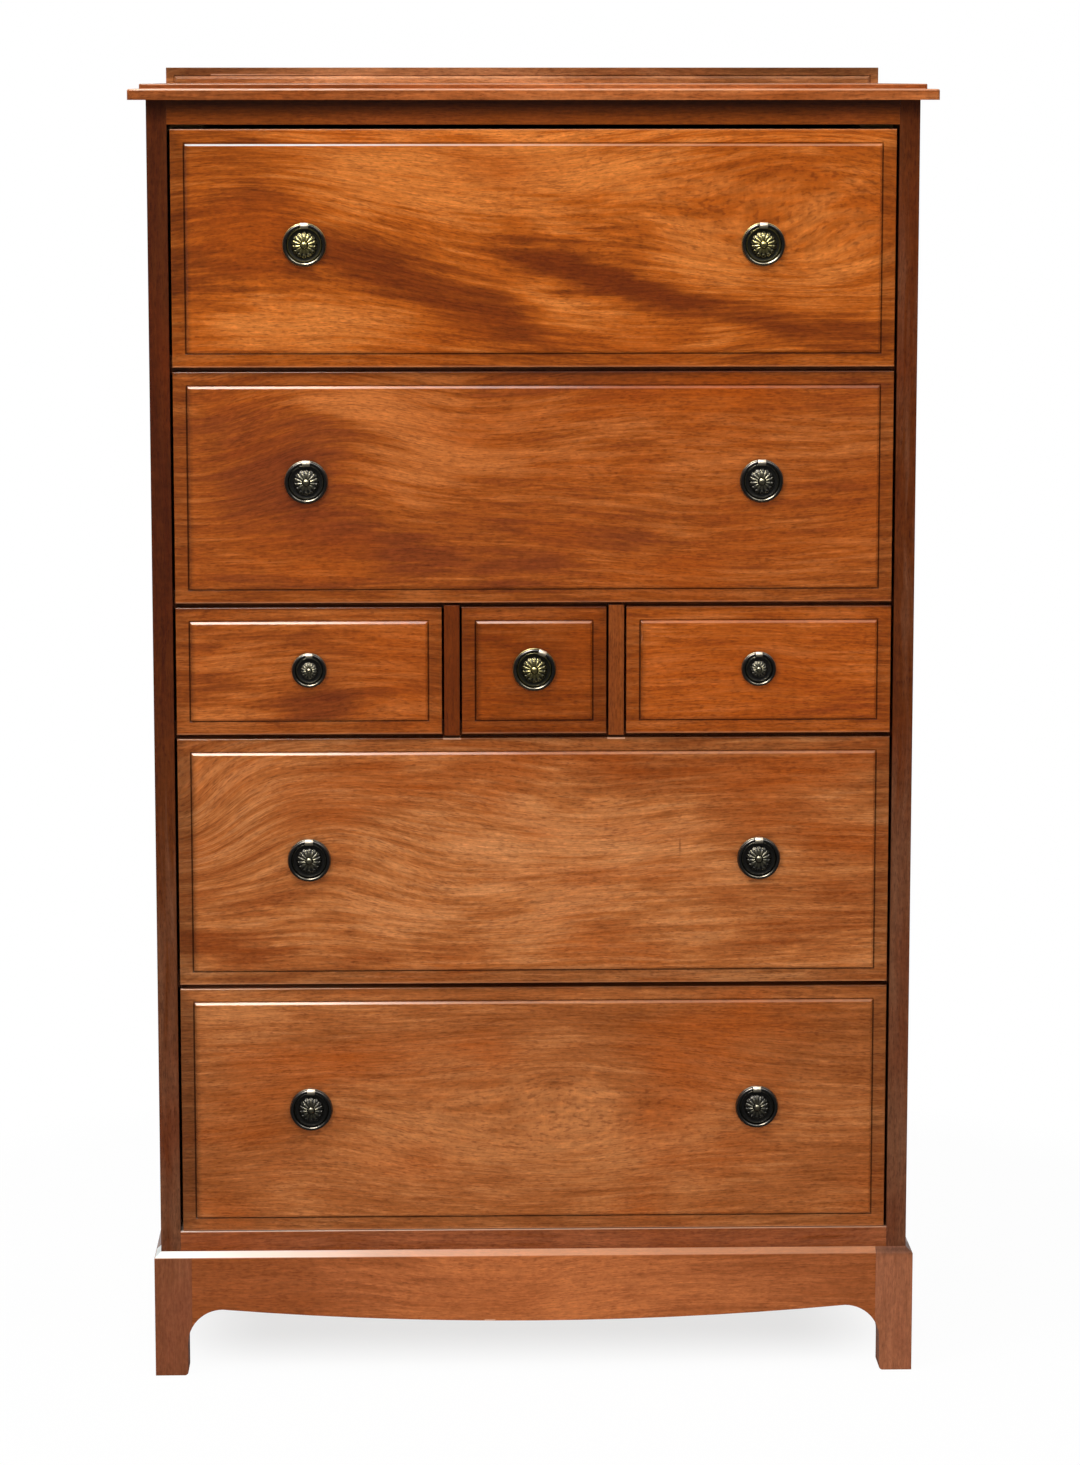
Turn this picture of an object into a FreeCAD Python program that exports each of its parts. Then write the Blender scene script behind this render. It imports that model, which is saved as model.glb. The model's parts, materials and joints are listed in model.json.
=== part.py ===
import FreeCAD, Part
import math
import os

# A tall mahogany chest of seven drawers: two long, three small in a row, two long.
# Millimetres. +X to the right, +Y to the back, +Z up, the drawers open towards -Y.
# The origin is on the floor, under the middle of the whole chest.

# ---- the case ----
case_width = 684.0
case_depth = 425.0
side_thick = 18.0
back_thick = 6.0
back_rebate = 10.0            # how far the back panel reaches into each side
bottom_rail_height = 18.6     # the strip of rail seen under the bottom drawer
top_rail_height = 21.5        # the strip of rail seen over the top drawer
front_rail_depth = 55.0
rear_rail_depth = 40.0
inner_rail_thick = 17.0       # rails between the drawers, behind their fronts
runner_width = 30.0
middle_runner_width = 54.0    # carries the neighbouring sides of two small drawers
housing = 6.0                 # how far a rail is housed in a side
housing_stop = 8.0            # the housing of a rail seen in the front stops short of it
stub_thick = 6.0              # tongues of the runners and dividers
stub_length = 6.0
runner_tongue_share = 0.5     # of the runner's width
divider_thick = 14.0
divider_centre = 74.0         # from the middle of the chest
divider_lap = 1.5             # how far a divider's face covers the rails' gap

# ---- the top ----
top_overhang_side = 15.5
top_overhang_front = 16.0
top_thick = 14.0
top_lower_step = 9.5          # height of the edge's lower, wider step
top_step_in = 10.0
top_arris = 1.6               # rounding of the lower step
top_upper_arris = 0.8         # rounding of the upper step
top_corner = 3.0
top_tongue_thick = 8.0
top_tongue_height = 5.0
top_tongue_stop = 30.0        # the tongue stops short of the front and back
gallery_thick = 14.0
gallery_height = 15.0
gallery_border = 8.2
gallery_relief = 2.5
gallery_housing = 1.5         # how far the gallery is let into the top
gallery_tongue_thick = 6.0
gallery_tongue_height = 4.0

# ---- the plinth ----
plinth_height = 115.9
plinth_proud = 6.0
plinth_chamfer_height = 5.4
post_size = 34.0
apron_thick = 20.0
foot_width = 30.0             # at the floor
foot_scoop_radius = 32.0
foot_scoop_top = 62.0
foot_toe_radius = 3.5
apron_belly_bottom = 49.5     # lowest point of the apron's curved edge
rear_rail_bottom = 50.0
tenon_thick = 8.0
tenon_length = 18.0
tenon_shoulder = 8.0          # below the top and above the scoop
glue_block_size = 28.0
glue_block_length = 90.0

# ---- the drawers ----
drawer_gap = 4.0              # between one front and the next, up the chest
bottom_gap = 0.5              # between the lowest front and the rail under it
end_gap = 2.5                 # between a front and the case side
divider_gap = 2.0             # between a small front and a divider
front_thick = 20.0
front_border = 12.6
front_relief = 2.5
front_bevel = 2.2
quirk_width = 0.8             # the narrow groove around a raised field
quirk_depth = 0.8
front_arris = 0.8
front_lip = 10.0              # how far a front hangs below its drawer's sides
stop_gap = 0.5                # behind a closed front, before the rail
running_gap = 0.3             # under the drawer sides
head_gap = 1.0                # over the drawer sides
drawer_rear_gap = 19.0        # behind a closed drawer
drawer_side_thick = 12.0
drawer_back_thick = 12.0
drawer_back_drop = 6.0        # the back is this much lower than the sides
drawer_bottom_thick = 6.0
drawer_bottom_raise = 8.0     # from the lower edge of the sides to the groove
groove_depth = 5.0
dovetail_lap = 14.0           # length of the tails let into the front
dovetail_pitch = 42.0
dovetail_share = 0.6          # width of a tail at its root, as a share of the pitch
dovetail_flare = 2.5
fewest_dovetails = 2
pull_from_middle = 203.5      # ring pulls of the long drawers

height_bottom = 226.0
height_fourth = 225.5
height_small = 115.0
height_second = 207.0
height_top = 210.0

# How far the pulls of each row sit above the middle of their fronts.
raise_bottom = 1.0
raise_fourth = 2.0
raise_small = 1.0
raise_second = 5.5
raise_top = 3.5

middle_pull_turn = 25.0       # the middle small pull has swung round on its bolt

# ---- the ring pulls ----
LARGE = {"plate_radius": 19.5, "ring_radius": 17.4, "wire": 3.2, "bend": 6.0, "lug_width": 7.0,
         "lug_diameter": 5.4, "boss_radius": 11.3, "boss_height": 4.6, "bead_radius": 3.2}
SMALL = {"plate_radius": 15.75, "ring_radius": 13.9, "wire": 2.8, "bend": 5.0, "lug_width": 6.0,
         "lug_diameter": 4.6, "boss_radius": 7.6, "boss_height": 3.8, "bead_radius": 2.3}
rim_height = 1.5
rim_width = 1.3
dish_floor = 0.9
ridge_height = 0.6
ridge_width = 1.4
boss_shoulder_in = 0.35       # a point of the boss's dome, as a share of the way to the bead
boss_shoulder_rise = 0.75     # and of the boss's height
lug_neck_rise = 0.6           # how far the lug's neck rises over its axis, as a share of its radius
bead_rise = 0.7               # height of the bolt's domed head, as a share of its radius
bolt_radius = 2.0
bolt_clearance = 0.15
bolt_end = 1.5                # beyond the nut
nut_across_flats = 7.0
nut_thick = 3.2
ring_rest_gap = 0.3
ring_running_gap = 0.05       # radial, in the lug

# ---- screws ----
screw_head_radius = 3.6
screw_head_height = 2.6
screw_radius = 1.8
screw_reach = 14.0            # length in the piece it holds on to
back_screw_pitch = 260.0

past = 1.0                    # how far a cutting solid reaches past what it cuts

# ---- places worked out from the sizes ----
top_width = case_width + 2 * top_overhang_side
top_depth = case_depth + top_overhang_front
y_back = top_depth / 2
y_front = y_back - case_depth
half_case = case_width / 2
half_inside = half_case - side_thick
y_rail = y_front + front_thick + stop_gap
y_back_panel = y_back - back_thick
z_bottom_rail = plinth_height + bottom_rail_height
z_row_bottom = z_bottom_rail + bottom_gap
z_row_fourth = z_row_bottom + height_bottom + drawer_gap
z_row_small = z_row_fourth + height_fourth + drawer_gap
z_row_second = z_row_small + height_small + drawer_gap
z_row_top = z_row_second + height_second + drawer_gap
z_top_rail = z_row_top + height_top + drawer_gap
z_case_top = z_top_rail + top_rail_height
z_top = z_case_top + top_thick
inner_rows = [z_row_fourth, z_row_small, z_row_second, z_row_top]


def box(x0, x1, y0, y1, z0, z1):
    return Part.makeBox(x1 - x0, y1 - y0, z1 - z0, FreeCAD.Vector(x0, y0, z0))


def mirrored(shape):
    return shape.mirror(FreeCAD.Vector(0, 0, 0), FreeCAD.Vector(1, 0, 0))


def both(shape):
    return [shape, mirrored(shape)]


def prism(edges, direction):
    return Part.Face(Part.Wire(edges)).extrude(direction)


def polygon_edges(points):
    return [Part.makeLine(a, b) for a, b in zip(points, points[1:] + points[:1])]


def arc(start, through, end):
    return Part.Arc(start, through, end).toShape()


def edges_on(shape, test):
    """Edges of a shape whose ends both pass the test."""
    return [edge for edge in shape.Edges if all(test(v.Point) for v in edge.Vertexes)]


def near(a, b):
    return abs(a - b) < 1e-4


def upright(edges):
    """Of some edges in a plane that faces the front, the ones that stand upright."""
    return [edge for edge in edges if near(edge.Vertexes[0].X, edge.Vertexes[1].X)]


def rim(shape, z):
    """The edges at one height, but for the one along the back."""
    return [edge for edge in edges_on(shape, lambda p: near(p.z, z))
            if not all(near(v.Y, y_back) for v in edge.Vertexes)]


def save(name, solids):
    shape = solids[0] if len(solids) == 1 else Part.makeCompound(solids)
    if not shape.isValid():
        raise ValueError(name + " is not valid")
    shape.exportStep("parts/" + name + ".step")


# ---- rails, runners and dividers ----
def rail_top(row_z):
    """Top of the rail and runners that carry the drawers of a row."""
    return row_z + front_lip - running_gap


def rail_bottom(row_z):
    """Underside of the rail and runners under a row, which guide the drawers below."""
    return rail_top(row_z) - inner_rail_thick


def seen_rail(z0, z1):
    """A rail flush with the case front, its housed ends hidden by the case sides."""
    y1 = y_front + front_rail_depth
    rail = box(-half_inside, half_inside, y_front, y1, z0, z1)
    ends = box(-half_inside - housing, half_inside + housing, y_front + housing_stop, y1, z0, z1)
    return rail.fuse(ends).removeSplitter()


def front_rails():
    """Two rails seen in the front, and four behind the drawer fronts."""
    reach = half_inside + housing
    visible = [seen_rail(plinth_height, z_bottom_rail), seen_rail(z_top_rail, z_case_top)]
    hidden = [box(-reach, reach, y_rail, y_rail + front_rail_depth,
                  rail_bottom(z), rail_top(z)) for z in inner_rows]
    return visible + hidden


def rear_rails():
    reach = half_inside + housing
    y0 = y_back_panel - rear_rail_depth
    levels = [(plinth_height, z_bottom_rail), (z_top_rail, z_case_top)]
    levels += [(rail_bottom(z), rail_top(z)) for z in inner_rows]
    return [box(-reach, reach, y0, y_back_panel, z0, z1) for z0, z1 in levels]


def runner(x0, x1, y0, z0, z1, stub_z):
    """A strip from the front rail to the rear rail, with a tongue at each end."""
    y1 = y_back_panel - rear_rail_depth
    strip = box(x0, x1, y0, y1, z0, z1)
    middle = (x0 + x1) / 2
    half_tongue = (x1 - x0) * runner_tongue_share / 2
    tongue = box(middle - half_tongue, middle + half_tongue, y0 - stub_length, y1 + stub_length,
                 stub_z - stub_thick / 2, stub_z + stub_thick / 2)
    return strip.fuse(tongue).removeSplitter()


def runners():
    inner = half_inside - runner_width
    y_flush = y_front + front_rail_depth
    y_set_back = y_rail + front_rail_depth
    strips = both(runner(inner, half_inside, y_flush, plinth_height, rail_top(z_row_bottom),
                         (plinth_height + z_bottom_rail) / 2))
    strips += both(runner(inner, half_inside, y_flush, rail_bottom(z_top_rail), z_case_top,
                          (z_top_rail + z_case_top) / 2))
    left = divider_centre - middle_runner_width / 2
    spans = [(inner, half_inside, z) for z in inner_rows]
    spans.append((left, left + middle_runner_width, z_row_small))
    for x0, x1, z in spans:
        middle = (rail_bottom(z) + rail_top(z)) / 2
        strips += both(runner(x0, x1, y_set_back, rail_bottom(z), rail_top(z), middle))
    return strips


def dividers():
    """Upright boards between the small drawers: a face in the front, a tongue in each rail."""
    x0 = divider_centre - divider_thick / 2
    x1 = divider_centre + divider_thick / 2
    floor = rail_top(z_row_small)
    ceiling = rail_bottom(z_row_second)
    board = box(x0, x1, y_front, y_back_panel, floor, ceiling)
    face = box(x0, x1, y_front, y_rail, z_row_small - divider_lap,
               z_row_small + height_small + divider_lap)
    tongue = box(divider_centre - stub_thick / 2, divider_centre + stub_thick / 2,
                 y_rail + stub_length, y_rail + front_rail_depth - stub_length,
                 floor - stub_length, ceiling + stub_length)
    board = board.fuse([face, tongue]).removeSplitter()
    corners = upright(edges_on(board, lambda p: near(p.y, y_front)))
    return both(board.makeFillet(front_arris, corners))


# ---- case sides, back, top and gallery ----
def side_panel(joined):
    """The right side, with a tongue for the top and housings for everything let into it."""
    panel = box(half_inside, half_case, y_front, y_back, plinth_height, z_case_top)
    middle = (half_inside + half_case) / 2
    tongue = box(middle - top_tongue_thick / 2, middle + top_tongue_thick / 2,
                 y_front + top_tongue_stop, y_back - top_tongue_stop,
                 z_case_top, z_case_top + top_tongue_height)
    panel = panel.fuse(tongue)
    return panel.cut(joined).removeSplitter()


def back_panel():
    reach = half_inside + back_rebate
    return box(-reach, reach, y_back_panel, y_back, plinth_height, z_case_top)


def top_step(inset, z1, arris):
    """One step of the top: rounded at its two front corners and along its upper edge."""
    half = top_width / 2 - inset
    y0 = inset - y_back
    step = box(-half, half, y0, y_back, z_case_top, z1)
    step = step.makeFillet(top_corner, upright(edges_on(step, lambda p: near(p.y, y0))))
    return step.makeFillet(arris, rim(step, z1))


def top_board(joined):
    """A board with a stepped edge at the front and ends."""
    lower = top_step(0, z_case_top + top_lower_step, top_arris)
    upper = top_step(top_step_in, z_top, top_upper_arris)
    return lower.fuse(upper).cut(joined).removeSplitter()


def gallery():
    """A low upstand at the back of the top, its front a raised field inside a flat border."""
    half = top_width / 2 - top_step_in
    y0 = y_back - gallery_thick
    y_field = y0 - gallery_relief
    y_quirk = y0 + quirk_depth
    half_field = half - gallery_border
    half_quirk = half_field + quirk_width
    z_field = z_top + gallery_height - gallery_border
    z_foot = z_top - gallery_housing
    board = box(-half, half, y0, y_back, z_foot, z_top + gallery_height)
    quirk = box(-half_quirk, half_quirk, y0, y_quirk, z_top, z_field + quirk_width)
    field = box(-half_field, half_field, y_field, y_quirk, z_foot, z_field)
    outline = [edge for edge in edges_on(field, lambda p: near(p.y, y_field))
               if not all(near(v.Z, z_foot) for v in edge.Vertexes)]
    field = field.makeChamfer(front_bevel, outline)
    tongue = box(top_tongue_stop - half, half - top_tongue_stop,
                 y_back - (gallery_thick + gallery_tongue_thick) / 2,
                 y_back - (gallery_thick - gallery_tongue_thick) / 2,
                 z_foot - gallery_tongue_height, z_foot)
    return board.cut(quirk).fuse([field, tongue]).removeSplitter()


# ---- plinth ----
def plinth_void(centre, half_span, direction, across, depth):
    """The space under a curved apron between two feet, as a solid to cut away.

    direction points along the apron, across points through it, and depth is how far it goes.
    """
    up = FreeCAD.Vector(0, 0, 1)

    def at(u, z):
        return centre + direction * u + up * z

    foot = half_span
    scoop = foot - foot_scoop_radius
    scoop_centre = foot_scoop_top - foot_scoop_radius
    diagonal = foot_scoop_radius * math.sqrt(0.5)
    toe = foot_toe_radius
    toe_diagonal = toe * (1 - math.sqrt(0.5))
    edges = [
        Part.makeLine(at(-foot - toe, -past), at(-foot - toe, 0)),
        arc(at(-foot - toe, 0), at(-foot - toe_diagonal, toe_diagonal), at(-foot, toe)),
        Part.makeLine(at(-foot, toe), at(-foot, scoop_centre)),
        arc(at(-foot, scoop_centre), at(-scoop - diagonal, scoop_centre + diagonal),
            at(-scoop, foot_scoop_top)),
        arc(at(-scoop, foot_scoop_top), at(0, apron_belly_bottom), at(scoop, foot_scoop_top)),
        arc(at(scoop, foot_scoop_top), at(scoop + diagonal, scoop_centre + diagonal),
            at(foot, scoop_centre)),
        Part.makeLine(at(foot, scoop_centre), at(foot, toe)),
        arc(at(foot, toe), at(foot + toe_diagonal, toe_diagonal), at(foot + toe, 0)),
        Part.makeLine(at(foot + toe, 0), at(foot + toe, -past)),
        Part.makeLine(at(foot + toe, -past), at(-foot - toe, -past)),
    ]
    return prism(edges, across * depth)


def plinth():
    """Four corner posts, a curved front and sides, and a straight back, joined with tenons."""
    half = half_case + plinth_proud
    y0 = y_front - plinth_proud
    y_middle = (y0 + y_back) / 2
    half_depth = (y_back - y0) / 2
    x_axis = FreeCAD.Vector(1, 0, 0)
    y_axis = FreeCAD.Vector(0, 1, 0)
    across = 2 * (half + past)
    along = 2 * (half_depth + past)
    front_void = plinth_void(FreeCAD.Vector(0, y0 - past, 0), half - foot_width, x_axis, y_axis,
                             post_size + 2 * past)
    side_void = plinth_void(FreeCAD.Vector(-half - past, y_middle, 0), half_depth - foot_width,
                            y_axis, x_axis, across)
    edge_z = plinth_height - plinth_chamfer_height
    over = plinth_height + past
    wedge = [FreeCAD.Vector(0, y0, over), FreeCAD.Vector(0, y0 - past, over),
             FreeCAD.Vector(0, y0 - past, edge_z), FreeCAD.Vector(0, y0, edge_z),
             FreeCAD.Vector(0, y_front, plinth_height), FreeCAD.Vector(0, y_front, over)]
    front_wedge = prism(polygon_edges(wedge), x_axis * across)
    front_wedge.translate(FreeCAD.Vector(-half - past, 0, 0))
    wedge = [FreeCAD.Vector(half + (y0 - p.y), y0 - past, p.z) for p in wedge]
    side_wedge = prism(polygon_edges(wedge), y_axis * along)
    wedges = [front_wedge, side_wedge, mirrored(side_wedge)]

    inner = half - post_size
    z0 = foot_scoop_top + tenon_shoulder
    z1 = edge_z - tenon_shoulder
    tenon_set = (apron_thick - tenon_thick) / 2
    apron = box(-inner, inner, y0, y0 + apron_thick, 0, plinth_height)
    tenon = box(-inner - tenon_length, inner + tenon_length,
                y0 + tenon_set, y0 + tenon_set + tenon_thick, z0, z1)
    apron = apron.cut([front_void] + wedges).fuse(tenon).removeSplitter()

    side_apron = box(half - apron_thick, half, y0 + post_size, y_back - post_size, 0, plinth_height)
    tenon = box(half - tenon_set - tenon_thick, half - tenon_set,
                y0 + post_size - tenon_length, y_back - post_size + tenon_length, z0, z1)
    side_apron = side_apron.cut([side_void] + wedges).fuse(tenon).removeSplitter()

    rear = box(-inner, inner, y_back - apron_thick, y_back, rear_rail_bottom, plinth_height)
    tenon = box(-inner - tenon_length, inner + tenon_length,
                y_back - tenon_set - tenon_thick, y_back - tenon_set, z0, z1)
    rear = rear.fuse(tenon).removeSplitter()

    rails = [apron] + both(side_apron) + [rear]
    front_post = box(inner, half, y0, y0 + post_size, 0, plinth_height)
    rear_post = box(inner, half, y_back - post_size, y_back, 0, plinth_height)
    posts = [front_post.cut([front_void, side_void] + wedges + rails).removeSplitter(),
             rear_post.cut([side_void] + wedges + rails).removeSplitter()]
    posts += [mirrored(post) for post in posts]
    return rails, posts


def glue_blocks():
    """Blocks in the corner between the plinth and the underside of the case."""
    size = glue_block_size
    z0 = plinth_height - size
    y0 = y_front - plinth_proud + apron_thick
    length = glue_block_length
    blocks = [box(x - length / 2, x + length / 2, y0, y0 + size, z0, plinth_height)
              for x in (-half_inside / 2, 0, half_inside / 2)]
    blocks += [box(x - length / 2, x + length / 2, y_back - apron_thick - size,
                   y_back - apron_thick, z0, plinth_height) for x in (-half_inside / 2, half_inside / 2)]
    x1 = half_case + plinth_proud - apron_thick
    for y in (y_front + case_depth / 3, y_front + 2 * case_depth / 3):
        blocks += both(box(x1 - size, x1, y - length / 2, y + length / 2, z0, plinth_height))
    return blocks


# ---- screws ----
def screw(point, direction, through):
    """A countersunk screw, its head flush at the point, that passes through one piece."""
    head = Part.makeCone(screw_head_radius, screw_radius, screw_head_height, point, direction)
    shank = Part.makeCylinder(screw_radius, through + screw_reach, point, direction)
    return head.fuse(shank).removeSplitter()


def screws():
    """Screws that hold the back panel on its rails and sides."""
    inward = FreeCAD.Vector(0, -1, 0)
    spots = []
    for z in (plinth_height + bottom_rail_height / 2, z_case_top - top_rail_height / 2):
        spots += [(x, z) for x in (-half_inside / 2, 0, half_inside / 2)]
    for z in inner_rows:
        spots += [(x, rail_top(z) - inner_rail_thick / 2) for x in (-half_inside / 2, half_inside / 2)]
    edge = half_inside + back_rebate / 2
    count = int((z_case_top - plinth_height) / back_screw_pitch)
    step = (z_case_top - plinth_height) / (count + 1)
    for i in range(count + 1):
        z = plinth_height + step * (i + 0.5)
        spots += [(-edge, z), (edge, z)]
    return [screw(FreeCAD.Vector(x, y_back, z), inward, back_thick) for x, z in spots]


# ---- ring pulls ----
def revolved(edges):
    """Turn a closed outline in the X-Y plane about the Y axis."""
    face = Part.Face(Part.Wire(edges))
    return face.revolve(FreeCAD.Vector(0, 0, 0), FreeCAD.Vector(0, 1, 0), 360)


def out(radius, height):
    """A point of a pull's outline: distance from its axis, and height off the wood."""
    return FreeCAD.Vector(radius, -height, 0)


def ring_height(pull):
    return rim_height + ring_rest_gap + pull["wire"] / 2


def hinge_rise(pull):
    """How far the straight top of the ring lies above the middle of the plate."""
    bend = pull["bend"]
    straight = pull["lug_width"] / 2 + ring_running_gap
    return bend + math.sqrt((pull["ring_radius"] - bend) ** 2 - straight ** 2)


def pull_plate(pull):
    """A dished plate with a rolled rim, a ridge, a domed boss and the lug that holds the ring."""
    hole = bolt_radius + bolt_clearance
    rim = pull["plate_radius"]
    boss = pull["boss_radius"]
    bead = pull["bead_radius"]
    rise = pull["boss_height"]
    ridge = (rim - rim_width + boss) / 2
    half_ridge = ridge_width / 2
    shoulder = boss + (bead - boss) * boss_shoulder_in
    shoulder_height = dish_floor + (rise - dish_floor) * boss_shoulder_rise
    edges = [
        Part.makeLine(out(hole, 0), out(rim, 0)),
        Part.makeLine(out(rim, 0), out(rim, rim_height / 2)),
        arc(out(rim, rim_height / 2), out(rim - rim_width / 2, rim_height),
            out(rim - rim_width, dish_floor)),
        Part.makeLine(out(rim - rim_width, dish_floor), out(ridge + half_ridge, dish_floor)),
        arc(out(ridge + half_ridge, dish_floor), out(ridge, dish_floor + ridge_height),
            out(ridge - half_ridge, dish_floor)),
        Part.makeLine(out(ridge - half_ridge, dish_floor), out(boss, dish_floor)),
        arc(out(boss, dish_floor), out(shoulder, shoulder_height), out(bead, rise)),
        Part.makeLine(out(bead, rise), out(hole, rise)),
        Part.makeLine(out(hole, rise), out(hole, 0)),
    ]
    plate = revolved(edges)
    width = pull["lug_width"]
    radius = pull["lug_diameter"] / 2
    z = hinge_rise(pull)
    y = -ring_height(pull)
    start = FreeCAD.Vector(-width / 2, y, z)
    along = FreeCAD.Vector(1, 0, 0)
    barrel = Part.makeCylinder(radius, width, start, along)
    neck = box(-width / 2, width / 2, y, -dish_floor / 2, z - radius, z + radius * lug_neck_rise)
    hole = Part.makeCylinder(pull["wire"] / 2 + ring_running_gap, width, start, along)
    return plate.fuse([barrel, neck]).cut(hole).removeSplitter()


def pull_bolt(pull):
    """A bolt with a domed head in front of the boss, through the drawer front."""
    bead = pull["bead_radius"]
    rise = bead * bead_rise
    sphere_radius = (bead ** 2 + rise ** 2) / (2 * rise)
    outward = FreeCAD.Vector(0, -1, 0)
    seat = FreeCAD.Vector(0, -pull["boss_height"], 0)
    sphere = Part.makeSphere(sphere_radius, seat + outward * (rise - sphere_radius))
    head = Part.makeCylinder(bead, rise + past, seat, outward).common(sphere)
    length = front_thick + front_relief + nut_thick + bolt_end
    shank = Part.makeCylinder(bolt_radius, length + pull["boss_height"], seat, -outward)
    return shank.fuse(head).removeSplitter()


def pull_nut():
    """A hexagon nut on the inner face of the drawer front."""
    corner = nut_across_flats / math.sqrt(3)
    y = front_thick + front_relief
    points = [FreeCAD.Vector(corner * math.cos(math.radians(60 * i)), y,
                             corner * math.sin(math.radians(60 * i))) for i in range(6)]
    nut = prism(polygon_edges(points), FreeCAD.Vector(0, nut_thick, 0))
    bore = Part.makeCylinder(bolt_radius + ring_running_gap, nut_thick, FreeCAD.Vector(0, y, 0),
                             FreeCAD.Vector(0, 1, 0))
    return nut.cut(bore)


def pull_ring(pull):
    """A round wire ring with a short straight top that turns in the lug."""
    radius = pull["ring_radius"]
    bend = pull["bend"]
    straight = pull["lug_width"] / 2 + ring_running_gap
    top = hinge_rise(pull)
    y = -ring_height(pull)

    def at(x, z):
        return FreeCAD.Vector(x, y, z)

    angle = math.atan2(top - bend, straight)
    joint = at(radius * math.cos(angle), radius * math.sin(angle))
    middle = (angle + math.pi / 2) / 2
    knee = at(straight + bend * math.cos(middle), top - bend + bend * math.sin(middle))
    path = Part.Wire([
        Part.makeLine(at(-straight, top), at(straight, top)),
        arc(at(straight, top), knee, joint),
        arc(joint, at(0, -radius), at(-joint.x, joint.z)),
        arc(at(-joint.x, joint.z), at(-knee.x, knee.z), at(-straight, top)),
    ])
    section = Part.Wire([Part.makeCircle(pull["wire"] / 2, at(0, top), FreeCAD.Vector(1, 0, 0))])
    return Part.Wire(path).makePipeShell([section], True, True)


def placed(shape, x, z, turn):
    """Move a pull's piece from its own centre to its place on a raised field."""
    copy = shape.copy()
    copy.rotate(FreeCAD.Vector(0, 0, 0), FreeCAD.Vector(0, 1, 0), turn)
    copy.translate(FreeCAD.Vector(x, y_front - front_relief, z))
    return copy


# ---- drawers ----
def tails(x0, x1, y_root, y_tip, z0, z1):
    """Dovetails across a drawer side, spread evenly between two heights."""
    count = max(fewest_dovetails, int((z1 - z0) / dovetail_pitch))
    pitch = (z1 - z0) / count
    root = pitch * dovetail_share / 2
    tip = root + dovetail_flare
    solids = []
    for i in range(count):
        z = z0 + pitch * (i + 0.5)
        points = [FreeCAD.Vector(x0, y_root, z - root), FreeCAD.Vector(x0, y_root, z + root),
                  FreeCAD.Vector(x0, y_tip, z + tip), FreeCAD.Vector(x0, y_tip, z - tip)]
        solids.append(prism(polygon_edges(points), FreeCAD.Vector(x1 - x0, 0, 0)))
    return solids


def fielded_front(x0, x1, z0, z1):
    """A board with a bevelled raised field inside a flat border, and a quirk around the field."""
    board = box(x0, x1, y_front, y_front + front_thick, z0, z1)
    board = board.makeFillet(front_arris, edges_on(board, lambda p: near(p.y, y_front)))
    quirk = box(x0 + front_border - quirk_width, x1 - front_border + quirk_width,
                y_front, y_front + quirk_depth,
                z0 + front_border - quirk_width, z1 - front_border + quirk_width)
    y_field = y_front - front_relief
    field = box(x0 + front_border, x1 - front_border, y_field, y_front + quirk_depth,
                z0 + front_border, z1 - front_border)
    field = field.makeChamfer(front_bevel, edges_on(field, lambda p: near(p.y, y_field)))
    return board.cut(quirk).fuse(field)


def drawer(name, x0, x1, z0, height, pulls, pull):
    """One drawer, closed: front, dovetailed sides and back, grooved bottom and its pulls.

    pulls lists (name, x, z, turn) for each ring pull.
    """
    z1 = z0 + height
    y_inner = y_front + front_thick
    y_end = y_back_panel - drawer_rear_gap
    y_rear = y_end - drawer_back_thick
    side_bottom = z0 + front_lip
    side_top = rail_bottom(z1 + drawer_gap) - head_gap
    panel_bottom = side_bottom + drawer_bottom_raise
    panel_top = panel_bottom + drawer_bottom_thick
    thick = drawer_side_thick

    panel = box(x0 + thick - groove_depth, x1 - thick + groove_depth,
                y_inner - groove_depth, y_end, panel_bottom, panel_top)
    groove = box(x0 + thick - groove_depth, x1 - thick + groove_depth,
                 y_inner - dovetail_lap - past, y_end + past, panel_bottom, panel_top)
    front_tails = []
    back_tails = []
    plates = []
    for xa, xb in ((x0, x0 + thick), (x1 - thick, x1)):
        front_tails.append(tails(xa, xb, y_inner, y_inner - dovetail_lap, side_bottom, side_top))
        back_tails += tails(xa, xb, y_rear, y_end, panel_top, side_top - drawer_back_drop)
        plates.append(box(xa, xb, y_inner, y_end, side_bottom, side_top))
    back = box(x0, x1, y_rear, y_end, panel_top, side_top - drawer_back_drop).cut(back_tails)
    sides = []
    for plate, side_tails in zip(plates, front_tails):
        side = plate.fuse(side_tails)
        sides.append(side.cut([groove, back]).removeSplitter())
    front = fielded_front(x0, x1, z0, z1)
    y_start = y_front - front_relief - past
    holes = [Part.makeCylinder(bolt_radius + bolt_clearance, y_inner + past - y_start,
                               FreeCAD.Vector(x, y_start, z),
                               FreeCAD.Vector(0, 1, 0)) for _, x, z, _ in pulls]
    front = front.cut(front_tails[0] + front_tails[1] + [panel] + holes)

    save(name + "_front", [front.removeSplitter()])
    save(name + "_sides", sides)
    save(name + "_back", [back.removeSplitter()])
    save(name + "_bottom", [panel])
    mounts = []
    for ring_name, x, z, turn in pulls:
        mounts += [placed(piece, x, z, turn) for piece in (pull_plate(pull), pull_bolt(pull), pull_nut())]
        save(ring_name, [placed(pull_ring(pull), x, z, turn)])
    save(name + "_pull_plates", mounts)


def long_drawer(name, z0, height, raised):
    reach = half_inside - end_gap
    z = z0 + height / 2 + raised
    pulls = [(name + "_ring_left", -pull_from_middle, z, 0), (name + "_ring_right", pull_from_middle, z, 0)]
    drawer(name, -reach, reach, z0, height, pulls, LARGE)


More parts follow.
